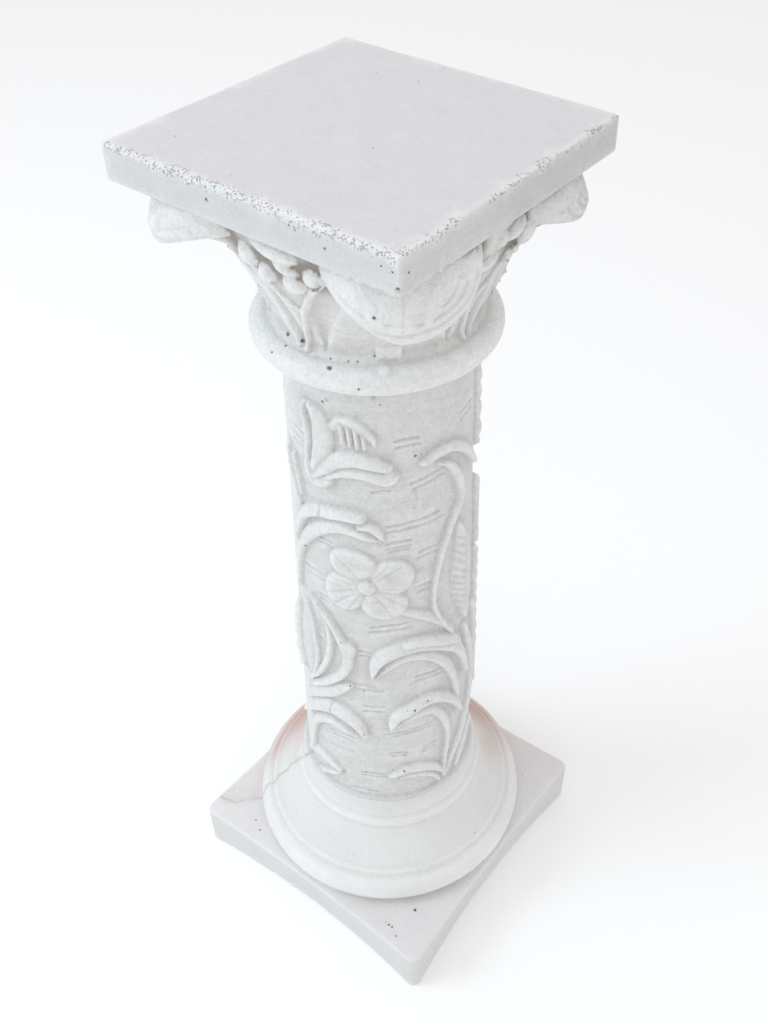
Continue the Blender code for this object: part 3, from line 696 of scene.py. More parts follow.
CRESCENTS = (
    (((-17, 712, 1.1), (-21.5, 708, 1.6), (-23.5, 700, 1.8), (-21, 692, 1.2)), 1.6, 0),
    (((-16, 706, 1.0), (-19, 702.5, 1.5), (-20, 696, 1.5), (-17.5, 690, 1.1)), 1.5, 0),
    (((-14, 699, 0.9), (-16, 696.5, 1.3), (-16, 691.5, 1.3), (-14, 687.5, 0.9)), 1.4, 0),
)
print("strokes on each face of the bell:", len(BELL_STROKES) + len(BELL_CUTS) + len(CRESCENTS))

# %% [markdown]
# Cast stone is never quite flat. Soft noise, made by blending random numbers on a grid, gives the
# hand-worked waves of the surface, and stretched sideways it gives the brushed streaks on the shaft.

# %% Uneven surface
def uneven(points, size, seed):
    """Smooth random values from -1 to 1 at points in millimetres, with bumps of about this size."""
    scaled = points / size + 1000
    cell = np.floor(scaled).astype(np.int64)
    share = scaled - cell
    share = share * share * (3 - 2 * share)
    total = np.zeros(len(points))
    for corner in range(8):
        offset = np.array([corner & 1, corner >> 1 & 1, corner >> 2 & 1])
        weight = np.prod(np.where(offset, share, 1 - share), axis=1)
        key = (cell + offset) @ np.array([73856093, 19349663, 83492791]) + seed * 2654435761
        key = (key ^ key >> 13) * 1274126177 & 0xFFFFFFFF
        total += weight * ((key ^ key >> 16) % 65536 / 32767.5 - 1)
    return total


# %% [markdown]
# The casting is also worn. A crack runs from the left corner of the plinth over the mouldings to the
# foot of the shaft, beside a rough patch, and a few air bubbles broke open at the surface.

# %% Crack and air holes
# Points of the crack: direction in degrees, distance from the axis and height
CRACK_LINES = (
    ((-141, 186, 52.5), (-138.3, 182, 52.5), (-136.2, 168, 52.5), (-136.8, 152, 52.5), (-136.8, 138.4, 53),
     (-134, 137, 66), (-132.8, 134.5, 78), (-135.1, 130.2, 83), (-134.2, 123, 88.7), (-136.6, 117.7, 93),
     (-136.1, 109.7, 100.3), (-138.6, 104.5, 105.4), (-137.6, 96.5, 115.3), (-133, 93, 127), (-126, 88, 146),
     (-123.8, 87.4, 151), (-119.3, 81.3, 163.4)),
)
# Air holes in millimetres: across, along, up and radius
AIR_HOLES = (
    (-18.7, -74.6, 672.4, 1.7), (-14.0, -82.1, 668.6, 1.1), (-21.3, -89.1, 664.2, 1.0),
    (-3.9, -75.9, 673.3, 1.7), (-2.2, -77.6, 681.3, 0.9), (25.9, -83.0, 667.6, 1.8),
    (21.1, -75.7, 669.2, 0.9), (32.9, -71.2, 669.2, 0.9), (38.4, -68.1, 669.5, 0.9),
    (46.8, -60.3, 673.6, 0.9), (48.2, -80.0, 657.9, 1.0), (42.5, -58.2, 635.7, 1.4),
    (-29.4, -122.0, 788.5, 1.3), (64.1, -121.9, 787.6, 0.9), (42.1, -121.8, 792.0, 0.8),
    (37.7, -121.9, 793.7, 0.8), (104.4, -121.9, 790.9, 0.9), (112.2, -121.9, 789.7, 0.9),
    (115.8, -121.8, 779.7, 1.9), (117.5, -114.2, 787.9, 0.9), (92.6, -115.0, 749.5, 1.3),
    (107.5, -97.0, 52.6, 1.7), (96.3, -124.5, 52.2, 1.4), (99.9, -124.3, 52.3, 1.2),
    (108.7, -129.2, 52.4, 1.1), (92.1, -123.9, 52.3, 1.0), (-87.9, -118.9, 52.7, 1.1),
    (-76.5, -124.9, 52.5, 1.0), (137.4, -75.8, 36.4, 1.2), (-19.1, -75.9, 468.2, 1.4),
    (63.5, -37.2, 579.3, 1.1), (46.1, -55.6, 629.3, 0.9), (17.4, -81.2, 379.1, 0.8),
    (22.6, -78.4, 322.4, 0.8), (35.0, -77.6, 259.4, 1.0), (70.7, -48.1, 293.1, 1.2),
    (76.4, -36.4, 299.7, 0.9), (63.7, -55.9, 202.8, 1.2), (7.1, -72.2, 624.0, 1.1),
    (10.4, -71.9, 627.1, 0.9),
)


def on_circle(degrees, radius, height):
    return np.array([*turned(radius, 0, math.radians(degrees)), height])


def crack_distance(points):
    """Distance of each point from the crack, which wavers a little."""
    nearest = np.full(len(points), 1e3)
    wavering = points + np.stack([uneven(points, 5, seed) for seed in (11, 12, 13)], axis=1)
    for line in CRACK_LINES:
        for first, second in zip(line, line[1:]):
            start_point, end_point = on_circle(*first), on_circle(*second)
            way = end_point - start_point
            share = np.clip(((wavering - start_point) @ way) / (way @ way), 0, 1)
            gap = np.linalg.norm(wavering - start_point - share[:, None] * way, axis=1)
            nearest = np.minimum(nearest, gap)
    return nearest


# %% [markdown]
# Three small things more that the mould left. Each corner leaf has creases that follow its lip and a
# line down its middle, a blob of mix sits below the front tab, and the lower arris of the slab is
# ragged at the front corner. The creases are strokes too, laid on a round of the leaf's own reach.

# %% Folds of a leaf, blob and ragged edge
LEAF_MIDDLE = 145
LEAF_FOLDS = (
    (((-19, 750, 0.5), (-13, 744.5, 1.0), (-7, 739.5, 1.2), (0, 737.5, 1.1), (7, 739.5, 1.2), (13, 744, 1.2),
      (19, 751, 1.0), (22, 760, 0.5)), -0.8, 0.2),
    (((3, 743.5, 0.5), (9, 747, 1.1), (14, 752, 1.1), (17.5, 760, 0.5)), -0.9, 0.2),
    (((6, 749, 0.5), (10.5, 753, 1.0), (13.5, 759, 0.9), (15.5, 765, 0.5)), -0.8, 0.2),
    (((-17, 757, 0.5), (-11, 750.5, 1.1), (-5, 746, 1.1), (-1, 745, 0.5)), -0.8, 0.2),
    (((0.6, 764, 0.8), (0.4, 752, 1.4), (0.2, 740, 1.2)), -0.7, 0),
    (((-9, 762, 2), (-7, 752, 5), (-5, 744, 3)), 0.6, 0),
    (((9, 764, 2), (8, 755, 5), (6, 746, 3)), 0.6, 0),
)
BLOB = (57.0, -63.6, 668.4)
RAGGED_REACH = 62


def leaf_middle(level):
    return LEAF_MIDDLE


print("folds on each leaf:", len(LEAF_FOLDS))

# %% [markdown]
# Three maps say how high the relief stands: on the shaft, on the bell and on the leaves. A map is read
# at a direction round the axis and a height. The half of the shaft that the photo doesn't show repeats
# the front, without the leaves that only show on its outline.

# %% Maps of the relief
def shaft_relief(azimuth, up):
    """Height of the relief on the shaft, at directions in degrees and heights."""
    radius = shaft_radius(up)
    relief = np.zeros(len(up))
    for turn in (0, 180):
        around = (azimuth - turn + 180) % 360 - 180
        across = np.radians(around) * radius
        part = np.zeros(len(up))
        for group in GROUPS:
            carve(part, across, up, shaft_radius, group)
        if turn == 0:
            carve(part, across, up, shaft_radius, EDGE_LEAVES)
            scallops = np.zeros(len(up))
            carve(scallops, across, up, shaft_radius, SCALLOPED_LEAVES)
            scallops *= 0.72 + 0.28 * np.abs(np.sin(up * np.pi / 17))
            part = np.maximum(part, scallops)
        part = np.maximum(part, flower(across, up, shaft_radius))
        feather = smooth_step((around + 12) / 3) * smooth_step((24 - around) / 3)
        feather *= smooth_step((up - 376) / 8) * smooth_step((482 - up) / 8) * (part > 1.5)
        slant = np.abs(np.sin((up - np.abs(across - 9) * 0.9 + 2 * np.sin(up / 11)) * np.pi / 8.5))
        part -= feather * 1.5 * (1 - slant) ** 0.7
        carve(part, across, up, shaft_radius, RING_MARKS)
        bare = part < 0.4
        cuts = np.zeros(len(up))
        carve(cuts, across, up, shaft_radius, scratch_strokes())
        part[bare] += cuts[bare]
        relief = np.where(np.abs(part) > np.abs(relief), part, relief)
    return relief


def bell_relief(azimuth, up):
    """Height of the relief on the bell. Every other face is mirrored."""
    relief = np.zeros(len(up))
    for side in range(4):
        hand = 1 if side % 2 else -1
        around = ((azimuth - 90 * side + 180) % 360 - 180) * hand
        across = np.radians(around) * bell_radius(up)
        carve(relief, across, up, bell_radius, BELL_STROKES)
        carve(relief, across, up, bell_radius, BELL_CUTS)
        crescents = np.zeros(len(up))
        carve(crescents, across, up, bell_radius, CRESCENTS)
        relief += crescents
    return relief


def leaf_relief(azimuth, up):
    """Height of the folds on the corner leaves, counted from the middle of each leaf."""
    around = azimuth % 90 - 45
    hand = np.where(azimuth // 90 % 2 == 0, -1, 1)
    relief = np.zeros(len(up))
    carve(relief, np.radians(around * hand) * LEAF_MIDDLE, up, leaf_middle, LEAF_FOLDS)
    return relief


sample = np.arange(SHAFT_FOOT, SHAFT_TOP)
print("most relief at -45 degrees:", round(float(shaft_relief(np.full(len(sample), -45.0), sample).max()), 1))

# %% [markdown]
# Now the carving is put on the skin. Each point of the skin knows its direction round the axis, its
# height and its distance from the axis, so the map is looked up there and the point moves out or in.
# Then the whole surface gets its waves, and last the wear: air holes, the blob, the ragged arris and
# the crack.

# %% Carve the skin
def read_points(mesh):
    flat = np.empty(len(mesh.vertices) * 3, np.float32)
    mesh.vertices.foreach_get("co", flat)
    return flat.reshape(-1, 3).astype(float) * 1000


def write_points(mesh, points):
    mesh.vertices.foreach_set("co", (points / 1000).astype(np.float32).ravel())
    mesh.update()


def wear(points, outward, inward):
    for *middle, radius in AIR_HOLES:
        way = np.linalg.norm(points - middle, axis=1)
        dent = np.exp(-(way / radius) ** 2) * radius * 0.9
        points += inward * dent[:, None]
    way = np.linalg.norm(points - BLOB, axis=1)
    points += (outward * 1.4 + (0, 0, 2.4)) * np.exp(-(way / 4.5) ** 4)[:, None]
    corner_way = np.hypot(points[:, 0] - SLAB_SIDE / 2, points[:, 1] + SLAB_SIDE / 2)
    ragged = smooth_step((RAGGED_REACH - corner_way) / 12)
    ragged *= np.exp(-((points[:, 2] - SLAB_UNDERSIDE) / 2.6) ** 2)
    points[:, 2] += ragged * uneven(points, 3.6, 21) * 1.9
    crack = np.exp(-(crack_distance(points) / 1.1) ** 2) * (0.6 + 0.4 * uneven(points, 7, 16))
    points -= outward * (crack * 1.1)[:, None]
    points[:, 2] -= crack * 0.7 * (points[:, 2] < 120)


def carve_skin(mesh):
    points = read_points(mesh)
    x, y, up = points.T
    distance = np.hypot(x, y)
    azimuth = np.degrees(np.arctan2(y, x))
    outward = np.stack([x, y, np.zeros(len(x))], axis=1) / np.maximum(distance, 1e-6)[:, None]

    on_shaft = (up > SHAFT_FOOT + 1) & (up < SHAFT_TOP - 1) & (np.abs(distance - shaft_radius(up)) < 4)
    relief = shaft_relief(azimuth[on_shaft], up[on_shaft])
    streaks = uneven(np.stack([x / 5, y / 5, up], axis=1)[on_shaft], 3.2, 3) * 0.12
    waves = uneven(points[on_shaft], 17, 1) * 0.3 + uneven(points[on_shaft], 6, 2) * 0.2
    ends = smooth_step((up[on_shaft] - SHAFT_FOOT) / 6) * smooth_step((SHAFT_TOP - up[on_shaft]) / 4)
    lift = (relief + waves + streaks) * ends + shaft_radius(up[on_shaft]) - distance[on_shaft]
    points[on_shaft] += outward[on_shaft] * lift[:, None]

    on_bell = (up > BELL_FOOT + 1) & (up < SLAB_UNDERSIDE - 2) & (np.abs(distance - bell_radius(up)) < 3)
    points[on_bell] += outward[on_bell] * bell_relief(azimuth[on_bell], up[on_bell])[:, None]
    on_leaf = (distance > 112) & (up > 722) & (up < SLAB_UNDERSIDE - 3)
    points[on_leaf] += outward[on_leaf] * leaf_relief(azimuth[on_leaf], up[on_leaf])[:, None]

    elsewhere = ~on_shaft
    waves = uneven(points[elsewhere], 24, 5) * 0.35 + uneven(points[elsewhere], 7, 6) * 0.12
    inward = -np.stack([x, y, np.where(np.abs(up - 400) > 340, (up - 400) * 0.25, 0)], axis=1)
    inward /= np.linalg.norm(inward, axis=1)[:, None]
    points[elsewhere] += inward[elsewhere] * waves[:, None]
    wear(points, outward, inward)
    # The underside stays flat
    points[:, 2] = np.where(points[:, 2] < 1.2, 0, points[:, 2])
    write_points(mesh, points)
    print("carved", int(on_shaft.sum()), "points of the shaft and", int(on_bell.sum()), "of the bell")


carve_skin(column.data)

# %% [markdown]
# The skin now has far more faces than it needs on its flat parts. Decimate takes faces away where the
# surface is flat and keeps them where it is carved.

# %% Thin the mesh
def thin(form, most):
    triangles = sum(len(face.vertices) - 2 for face in form.data.polygons)
    if triangles > most:
        decimate = form.modifiers.new("thin", "DECIMATE")
        decimate.ratio = most / triangles
        bpy.ops.object.select_all(action="DESELECT")
        form.select_set(True)
        bpy.context.view_layer.objects.active = form
        bpy.ops.object.modifier_apply(modifier=decimate.name)
    bpy.ops.object.shade_smooth()
    print(form.name, "has", sum(len(face.vertices) - 2 for face in form.data.polygons), "triangles")


thin(column, MOST_TRIANGLES)

# %% [markdown]
# Some of the finish depends on the shape, so it is worked out per point of the mesh and kept as an
# attribute for the material. Recesses get painted shade: a point lies in one where its neighbours, on
# average, stand out further than it does.

# %% Helpers for attributes
def neighbour_mean(values, edges, count):
    total = np.zeros_like(values)
    np.add.at(total, edges[:, 0], values[edges[:, 1]])
    np.add.at(total, edges[:, 1], values[edges[:, 0]])
    return total / count[:, None]


def add_attribute(mesh, name, values):
    layer = mesh.attributes.new(name, "FLOAT", "POINT")
    layer.data.foreach_set("value", values.astype(np.float32))


def read_normals(mesh):
    flat = np.empty(len(mesh.vertices) * 3, np.float32)
    mesh.vertices.foreach_get("normal", flat)
    return flat.reshape(-1, 3).astype(float)


# %% [markdown]
# Light and shade are painted onto the parts as a factor on their lightness. The ring, the mouldings and the
# bell are painted the lightest, the sides of the slab and of the plinth the darkest, and so is what faces
# right.

# %% Painted light and shade of the parts
STONE_TONE = 0.985
BELL_PAINTED_LIGHT = 1.09
SLAB_SIDE_PAINTED_SHADE = 0.91
RING_PAINTED_LIGHT = 1.125
MOULDINGS_PAINTED_LIGHT = 0.105
PLINTH_SIDE_PAINTED_SHADE = 0.095
EVEN = 1.5


def tones_with_painted_light(x, y, up, on_top):
    """How light the stone is painted at each point, as a factor on its colour, with light and shade painted
    in.
    """
    direction = np.degrees(np.arctan2(y, x))
    tone_and_painted_light = np.full(len(up), STONE_TONE)
    # Painted light on the bell, painted shade on the sides of the slab
    tone_and_painted_light[(up > BELL_FOOT) & (up < SLAB_UNDERSIDE)] = BELL_PAINTED_LIGHT
    tone_and_painted_light[up > SLAB_UNDERSIDE - 1] = SLAB_SIDE_PAINTED_SHADE
    # Painted shade on the right side of the capital and the slab, and more on the leaf at the right
    tone_and_painted_light -= 0.07 * (up > BELL_FOOT) * (up < HEIGHT - 1) * smooth_step((x + y - 40) / 60) * (y > -30)
    tone_and_painted_light -= 0.06 * (up > BELL_FOOT) * (up < SLAB_UNDERSIDE) * smooth_step((x + y - 130) / 30)
    tone_and_painted_light[up > HEIGHT - 1] = STONE_TONE
    # Painted light on the ring and on the mouldings below the shaft, painted shade on the sides of the plinth
    near_ring = smooth_step((RING_THICKNESS / 2 + 4 - np.abs(up - RING_MIDDLE)) / 4)
    tone_and_painted_light = np.where(near_ring > 0, mix(tone_and_painted_light, RING_PAINTED_LIGHT, near_ring), tone_and_painted_light)
    tone_and_painted_light += MOULDINGS_PAINTED_LIGHT * smooth_step((152 - up) / 14)
    tone_and_painted_light[up < PLINTH_THICKNESS - EVEN] -= PLINTH_SIDE_PAINTED_SHADE
    # Painted light on the top of the plinth, but not on its front corner, and painted shade in a line round
    # the foot of the shaft
    tone_and_painted_light += on_top * (0.045 - 0.05 * smooth_step((34 - np.abs(direction + 47)) / 14))
    tone_and_painted_light -= 0.04 * smooth_step((12 - np.abs(up - 164)) / 8)
    # On the shaft, painted light on the raised relief and on the left edge, and painted shade in the band
    # below the ring
    on_shaft = (up > SHAFT_FOOT + 2) & (up < SHAFT_TOP)
    raised = smooth_step((np.hypot(x, y) - shaft_radius(up) - 0.8) / 2.2)
    tone_and_painted_light += on_shaft * (0.055 * raised + 0.008 - 0.035 * smooth_step((up - SHAFT_TOP + 22) / 14))
    tone_and_painted_light += on_shaft * 0.11 * smooth_step((-104 - direction) / 24)
    print("lightness from", round(float(tone_and_painted_light.min()), 2), "to", round(float(tone_and_painted_light.max()), 2))
    return tone_and_painted_light


# %% [markdown]
# All marks are now put on the mesh: hollows for painted shade and worn edges, painted shade between the
# lobes of the clusters, painted light and shade of the parts, how strongly the fine grain shows, the
# painted lilac-grey tint on the tops, the warm stain that spreads over the back of the base, the crack,
# and the rough patch that the crack borders on the plinth.

# %% Attributes of the finish and of the painted light and shade
def mark_finish(mesh):
    points = read_points(mesh)
    x, y, up = points.T
    normals = read_normals(mesh)
    direction = np.degrees(np.arctan2(y, x))
    edges = np.empty(len(mesh.edges) * 2, np.int32)
    mesh.edges.foreach_get("vertices", edges)
    edges = edges.reshape(-1, 2)
    count = np.bincount(edges.ravel(), minlength=len(points)).astype(float)
    smooth = points
    for _ in range(4):
        smooth = neighbour_mean(smooth, edges, count)
    hollow = ((smooth - points) * normals).sum(axis=1)
    # Painted shade in the hollows
    add_attribute(mesh, "painted_recess_shade", np.clip(hollow * 1.3, 0, 1))
    on_plinth = up < PLINTH_THICKNESS + 1
    add_attribute(mesh, "worn", np.clip(-hollow * 1.2, 0, 1) * np.where(on_plinth, 0.25, 1.0))

    # Deep gaps between the petals of the clusters, under the slab, get a brown painted shade
    for _ in range(26):
        smooth = neighbour_mean(smooth, edges, count)
    gap = ((smooth - points) * normals).sum(axis=1)
    from_face = np.abs((direction + 45) % 90 - 45)
    in_cluster = smooth_step((30 - from_face) / 8) * (up > BELL_FOOT + 8) * (up < SLAB_UNDERSIDE + 0.5)
    in_cluster *= 0.12 + 0.88 * smooth_step((up - 724) / 16)
    add_attribute(mesh, "painted_cluster_shade", np.clip((gap - 0.16) * 1.1, 0, 1) * in_cluster)

    on_top = (np.abs(up - PLINTH_THICKNESS) < EVEN) & (normals[:, 2] > 0.8)
    # Painted light and shade of the parts, as a factor on the colour
    add_attribute(mesh, "tone_and_painted_light", tones_with_painted_light(x, y, up, on_top))
    # Painted lilac-grey colour of the light on the top of the slab and, less, on the top of the plinth
    add_attribute(mesh, "painted_tint_on_tops", np.where(up > HEIGHT - 1, 1.0, 0.7 * on_top))

    # Fine roughness and its painted shade: strong on the carved parts, faint on the mouldings and on top of
    # the slab
    grain = np.full(len(points), 1.0)
    grain[up > SLAB_UNDERSIDE - 1] = 0.55
    grain[up > HEIGHT - 1] = 0.3
    grain[up < 157] = 0.32
    add_attribute(mesh, "grain", grain)

    # The stain begins away from the camera and ends below the shaft; a little of it is on the ring
    away = -(0.637 * x - 0.771 * y)
    stain = smooth_step((away + 44 + 22 * uneven(points, 26, 8)) / 115) * smooth_step((162 - up) / 14)
    stain *= np.where(up < PLINTH_THICKNESS + 2, 0.45, 1.0)
    left_of_ring = smooth_step((-x - 52) / 30) * smooth_step((14 - np.abs(up - RING_MIDDLE)) / 6) * (y < 0)
    add_attribute(mesh, "stain", np.maximum(stain ** 2, 0.1 * left_of_ring))

    add_attribute(mesh, "crack", np.exp(-(crack_distance(points) / 1.9) ** 2))
    radius = np.hypot(x, y)
    patch = smooth_step((-136.4 - direction) / 1.5) * smooth_step((direction + 145.5) / 3)
    patch *= smooth_step((185 - radius) / 8) * smooth_step((radius - 138) / 5)
    patch *= np.abs(up - PLINTH_THICKNESS) < 3
    add_attribute(mesh, "rough", patch)
    print("recesses cover", round(float((hollow > 0.3).mean()) * 100), "percent of the points")


mark_finish(column.data)

# %% [markdown]
# The material is white cement with fine marble sand, cast in a rubber mould and never painted, so it is
# matt. One small function adds each node, and colours are given as they look on a screen.

# %% Helpers for the material
def linear(code):
    """Linear colour from an sRGB hex value."""
    parts = [int(code[index:index + 2], 16) / 255 for index in (1, 3, 5)]
    return (*[part / 12.92 if part <= 0.04045 else ((part + 0.055) / 1.055) ** 2.4 for part in parts], 1)


stone = bpy.data.materials.new("white cement stone, cast")
stone.use_nodes = True
tree = stone.node_tree


def add_node(kind, inputs=(), output=0, **settings):
    """Adds a node and gives one output. Inputs are values or outputs, in order or by name."""
    node = tree.nodes.new("ShaderNode" + kind)
    for key, value in settings.items():
        setattr(node, key, value)
    for key, value in inputs.items() if isinstance(inputs, dict) else enumerate(inputs):
        if isinstance(value, bpy.types.NodeSocket):
            tree.links.new(value, node.inputs[key])
        else:
            node.inputs[key].default_value = value
    return node.outputs[output]


# %% [markdown]
# A real mix varies at every scale: clouds across the whole casting, mottling, grains of sand, and on
# the shaft the streaks of the brush. Each is a noise pattern whose scale is one over its real size.

# %% Patterns and marks
place = add_node("TexCoord", output="Object")
patterns = {}
# Each pattern: size in millimetres, levels of detail, their roughness, and how far it is stretched
for name, size, detail, roughness, stretch in (
    ("clouds", 60, 5, 0.5, 1), ("wander", 12, 3, 0.5, 1), ("mottle", 6, 4, 0.5, 1),
    ("streaks", 4, 3, 0.5, 0.16), ("grains", 2.6, 5, 0.62, 1), ("speckle", 2.2, 3, 0.5, 1),
):
    vector = place
    if stretch != 1:
        vector = add_node("Mapping", {"Vector": place, "Scale": (stretch, stretch, 1)})
    patterns[name] = add_node(
        "TexNoise", {"Vector": vector, "Scale": 1000 / size, "Detail": detail, "Roughness": roughness}
    )
normal = add_node("NewGeometry", output="Normal")
patterns["facing up"] = add_node("SeparateXYZ", [normal], "Z")
marks = {}
for name in ("painted_recess_shade", "worn", "painted_cluster_shade", "tone_and_painted_light", "grain", "painted_tint_on_tops", "stain", "crack", "rough"):
    marks[name] = add_node("Attribute", output="Fac", attribute_name=name)
print("patterns:", len(patterns), "marks:", len(marks))

# %% [markdown]
# The stone starts in two near whites and then gets its layers: a painted lilac-grey tint on what looks
# up, the stain, painted shade in the hollows and between the lobes of the clusters, rubbed high places,
# the rough patch and the crack.

# %% Layers of colour
def layer(colour, share, code):
    """The colour with another laid over it, by a share from 0 to 1."""
    return add_node("Mix", {"Factor": share, "A": colour, "B": linear(code)}, "Result", data_type="RGBA")


# Each layer: its pattern or mark, the range that it is read in, its share from and to, its colour,
# and a mark that limits it
LAYERS = (
    (patterns["mottle"], 0.55, 0.75, 0, 0.5, "#CFCFCC", 1.0),
    # Painted lilac-grey colour of the light on what looks up
    (patterns["facing up"], 0.75, 0.98, 0, 0.8, "#DCD7D9", marks["painted_tint_on_tops"]),
    (marks["stain"], 0, 1, 0, 0.9, "#C2A195", 1.0),
    # Painted shade in the hollows
    (marks["painted_recess_shade"], 0, 1, 0, 0.3, "#B9B3AA", 1.0),
    # Brown painted shade between the lobes of the clusters
    (marks["painted_cluster_shade"], 0, 1, 0, 0.8, "#7D7165", 1.0),
    (marks["worn"], 0.1, 1, 0, 0.6, "#EFF0F0", 1.0),
    (patterns["speckle"], 0.35, 0.6, 0, 0.07, "#A89C98", marks["rough"]),
    (patterns["mottle"], 0.3, 0.6, 0.1, 0.42, "#98786D", marks["crack"]),
)
colour = layer(linear("#E1E2E1"), patterns["clouds"], "#D7D7D5")
for source, low, high, least, most, code, limit in LAYERS:
    share = add_node("MapRange", [source, low, high, least, most])
    colour = layer(colour, add_node("Math", [share, limit], operation="MULTIPLY"), code)

# Painted shade and highlight of the fine grain: its low places are painted a little darker, its high ones a
# little lighter
surface = 0.0
for name, weight in (("grains", 1.3), ("streaks", 0.45), ("mottle", 0.95)):
    surface = add_node("Math", [patterns[name], weight, surface], operation="MULTIPLY_ADD")
painted_grain_shade = add_node("MapRange", [surface, 0.95, 1.75, -0.12, 0.12])
tone_and_painted_light = add_node("Math", [painted_grain_shade, marks["grain"], marks["tone_and_painted_light"]], operation="MULTIPLY_ADD")
surface = add_node("Math", [surface, marks["grain"]], operation="MULTIPLY")
# The colour is scaled by the painted light and shade of the parts and of the grain
colour = add_node("VectorMath", {0: colour, "Scale": tone_and_painted_light}, operation="SCALE")
print("layers of colour:", len(LAYERS))

# %% [markdown]
# Two arrises of the slab lay against the open side of the mould, and the mix is porous there: bright
# paste with small pores, painted dark as the shade inside them, in a band about 5 mm wide. Its place
# comes from the distance to the two arrises, and its pores from a Voronoi pattern with cells of under 2 mm.

# %% Porous rim
slab_top = HEIGHT / 1000
front = -(SLAB_SIDE / 2 + SLAB_SHIFT) / 1000
right = (SLAB_SIDE / 2 - SLAB_SHIFT) / 1000
patchy = add_node("MapRange", [patterns["wander"], 0.3, 0.7, -0.003, 0.003])
rim = 0.0
# Each arris: the axes across it, a point on it, and the distances where its band ends and is whole
for across, point, end, whole in (
    ((0, 1, 1), (0, front, slab_top), 0.006, 0.0035), ((1, 0, 1), (right, 0, slab_top), 0.0045, 0.002),
):
    flat = add_node("VectorMath", [place, across], operation="MULTIPLY")
    gap = add_node("VectorMath", [flat, point], "Value", operation="DISTANCE")
    band = add_node("MapRange", [add_node("Math", [gap, patchy]), end, whole])
    rim = add_node("Math", [band, rim], operation="MAXIMUM")

cells = add_node("TexVoronoi", {"Vector": place, "Scale": 1 / 0.0017})
size_change = add_node("MapRange", [patterns["mottle"], 0.3, 0.7, -0.22, 0.22])
pore = add_node("MapRange", [add_node("Math", [cells, size_change]), 0.4, 0.16])
pore = add_node("Math", [pore, rim], operation="MULTIPLY")
colour = layer(colour, add_node("Math", [rim, 0.55], operation="MULTIPLY"), "#E9EAE9")
# Painted shade inside the pores
colour = layer(colour, add_node("Math", [pore, 0.6], operation="MULTIPLY"), "#AEA9A5")
print("porous band along y =", round(front, 4), "and x =", round(right, 4))

# %% [markdown]
# The larger air holes are placed one by one, at the same points where the skin was dented: each point
# takes its nearest hole, and a noise keeps the rims from being perfect circles. Pinholes are sprinkled
# by a Voronoi pattern of which only some cells are used. Holes and pinholes get a dark grey brown
# painted shade inside them.

# %% Air holes in the material
nearest = 1000.0
for *middle, radius in AIR_HOLES:
    middle = [side / 1000 for side in middle]
    gap = add_node("VectorMath", [place, middle], "Value", operation="DISTANCE")
    gap = add_node("Math", [gap, radius / 1000], operation="DIVIDE")
    nearest = add_node("Math", [gap, nearest], operation="MINIMUM")
rim_change = add_node("MapRange", [patterns["speckle"], 0.3, 0.7, -0.3, 0.3])
hole = add_node("MapRange", [add_node("Math", [nearest, rim_change]), 0.95, 0.55])
pins = add_node("TexVoronoi", {"Vector": place, "Scale": 1 / 0.011})
chosen = add_node("SeparateColor", [pins.node.outputs["Color"]])
chosen = add_node("MapRange", [chosen, 0.72, 0.76, 0, 0.7])
pin = add_node("MapRange", [pins, 0.06, 0.035])
pin = add_node("Math", [pin, chosen], operation="MULTIPLY")
hole = add_node("Math", [hole, pin], operation="MAXIMUM")
# Painted shade inside the air holes and pinholes
colour = layer(colour, add_node("Math", [hole, 0.9], operation="MULTIPLY"), "#6A645D")
print("air holes:", len(AIR_HOLES))

# %% [markdown]
# Last, the height of the surface goes to one bump node: grains and streaks as they are, pores, holes
# and the rough patch sunk below them. A cast cement face is matt, so its roughness is high.

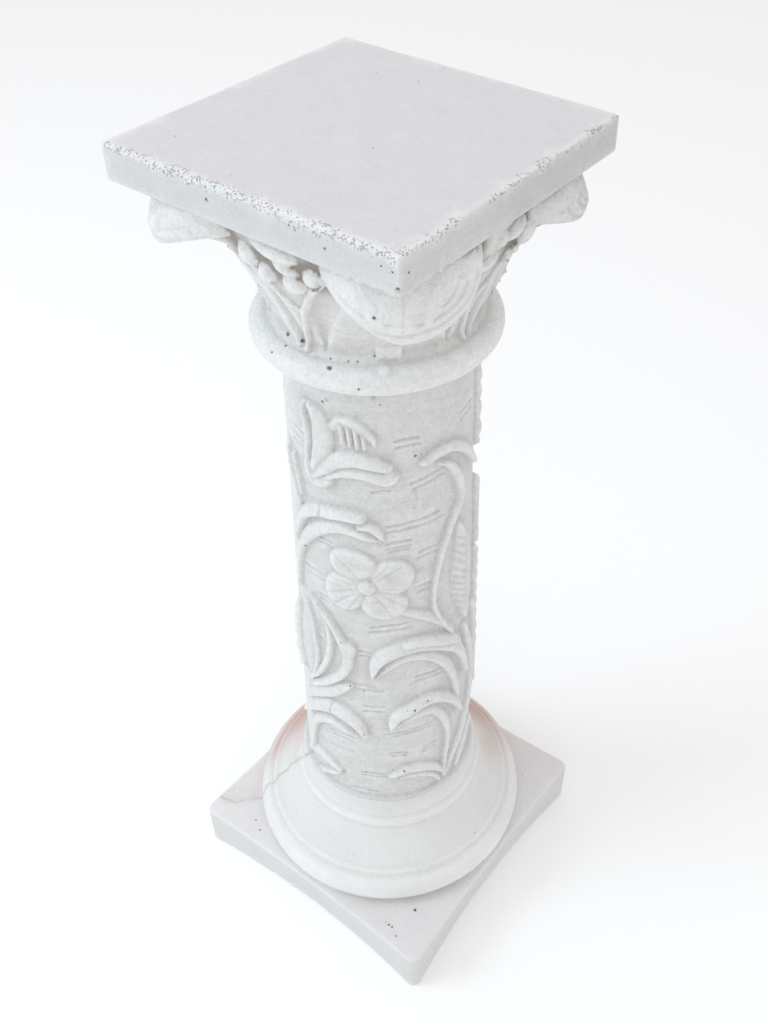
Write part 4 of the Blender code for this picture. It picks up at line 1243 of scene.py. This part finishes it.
# %% White cast cement stone
sunk = add_node("Math", [pore, 0.55], operation="MULTIPLY")
sunk = add_node("Math", [sunk, hole], operation="MAXIMUM")
surface = add_node("Math", [sunk, -1.3, surface], operation="MULTIPLY_ADD")
pitted = add_node("MapRange", [patterns["speckle"], 0.35, 0.6, 0, -0.35])
surface = add_node("Math", [pitted, marks["rough"], surface], operation="MULTIPLY_ADD")
bump = add_node("Bump", {"Strength": 1.0, "Distance": 0.001, "Height": surface})
shader = tree.nodes["Principled BSDF"]
shader.inputs["Roughness"].default_value = 0.82
tree.links.new(colour, shader.inputs["Base Color"])
tree.links.new(bump, shader.inputs["Normal"])
column.data.materials.clear()
column.data.materials.append(stone)
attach(column, "root")
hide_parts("column")
print("nodes in the stone:", len(tree.nodes))

# %% [markdown]
# The photo has soft daylight from all round, a little stronger from the left, on a white ground.

# %% Floor and light
floor = start(bpy.ops.mesh.primitive_plane_add, "floor", size=14)
floor_material = bpy.data.materials.new("white paper ground")
floor_material.use_nodes = True
paper = floor_material.node_tree.nodes["Principled BSDF"].inputs
paper["Base Color"].default_value = linear("#FAFAFA")
paper["Roughness"].default_value = 0.9
paper["Emission Color"].default_value = linear("#FFFDFA")
paper["Emission Strength"].default_value = 0.085
floor.data.materials.append(floor_material)

world = bpy.data.worlds.new("soft white room")
world.use_nodes = True
world.node_tree.nodes["Background"].inputs["Color"].default_value = (0.985, 0.98, 0.985, 1)
world.node_tree.nodes["Background"].inputs["Strength"].default_value = 0.80
bpy.context.scene.world = world


def area_light(name, place, size, watts, code):
    light = bpy.data.lights.new(name, "AREA")
    light.energy = watts
    light.size = size
    light.color = linear(code)[:3]
    lamp = bpy.data.objects.new(name, light)
    lamp.location = place
    lamp.rotation_euler = (Vector((0, 0, 0.45)) - lamp.location).to_track_quat("-Z", "Y").to_euler()
    bpy.context.scene.collection.objects.link(lamp)


area_light("window on the left", (-1.6, -1.8, 2.2), 1.3, 23.5, "#DAF0FF")
area_light("skylight", (-0.3, -0.4, 3.1), 1.2, 6.5, "#FFFFFF")
area_light("fill from the viewer", (1.3, -1.9, 1.5), 1.4, 3, "#FFFFFF")
bpy.context.scene.view_settings.view_transform = "Standard"
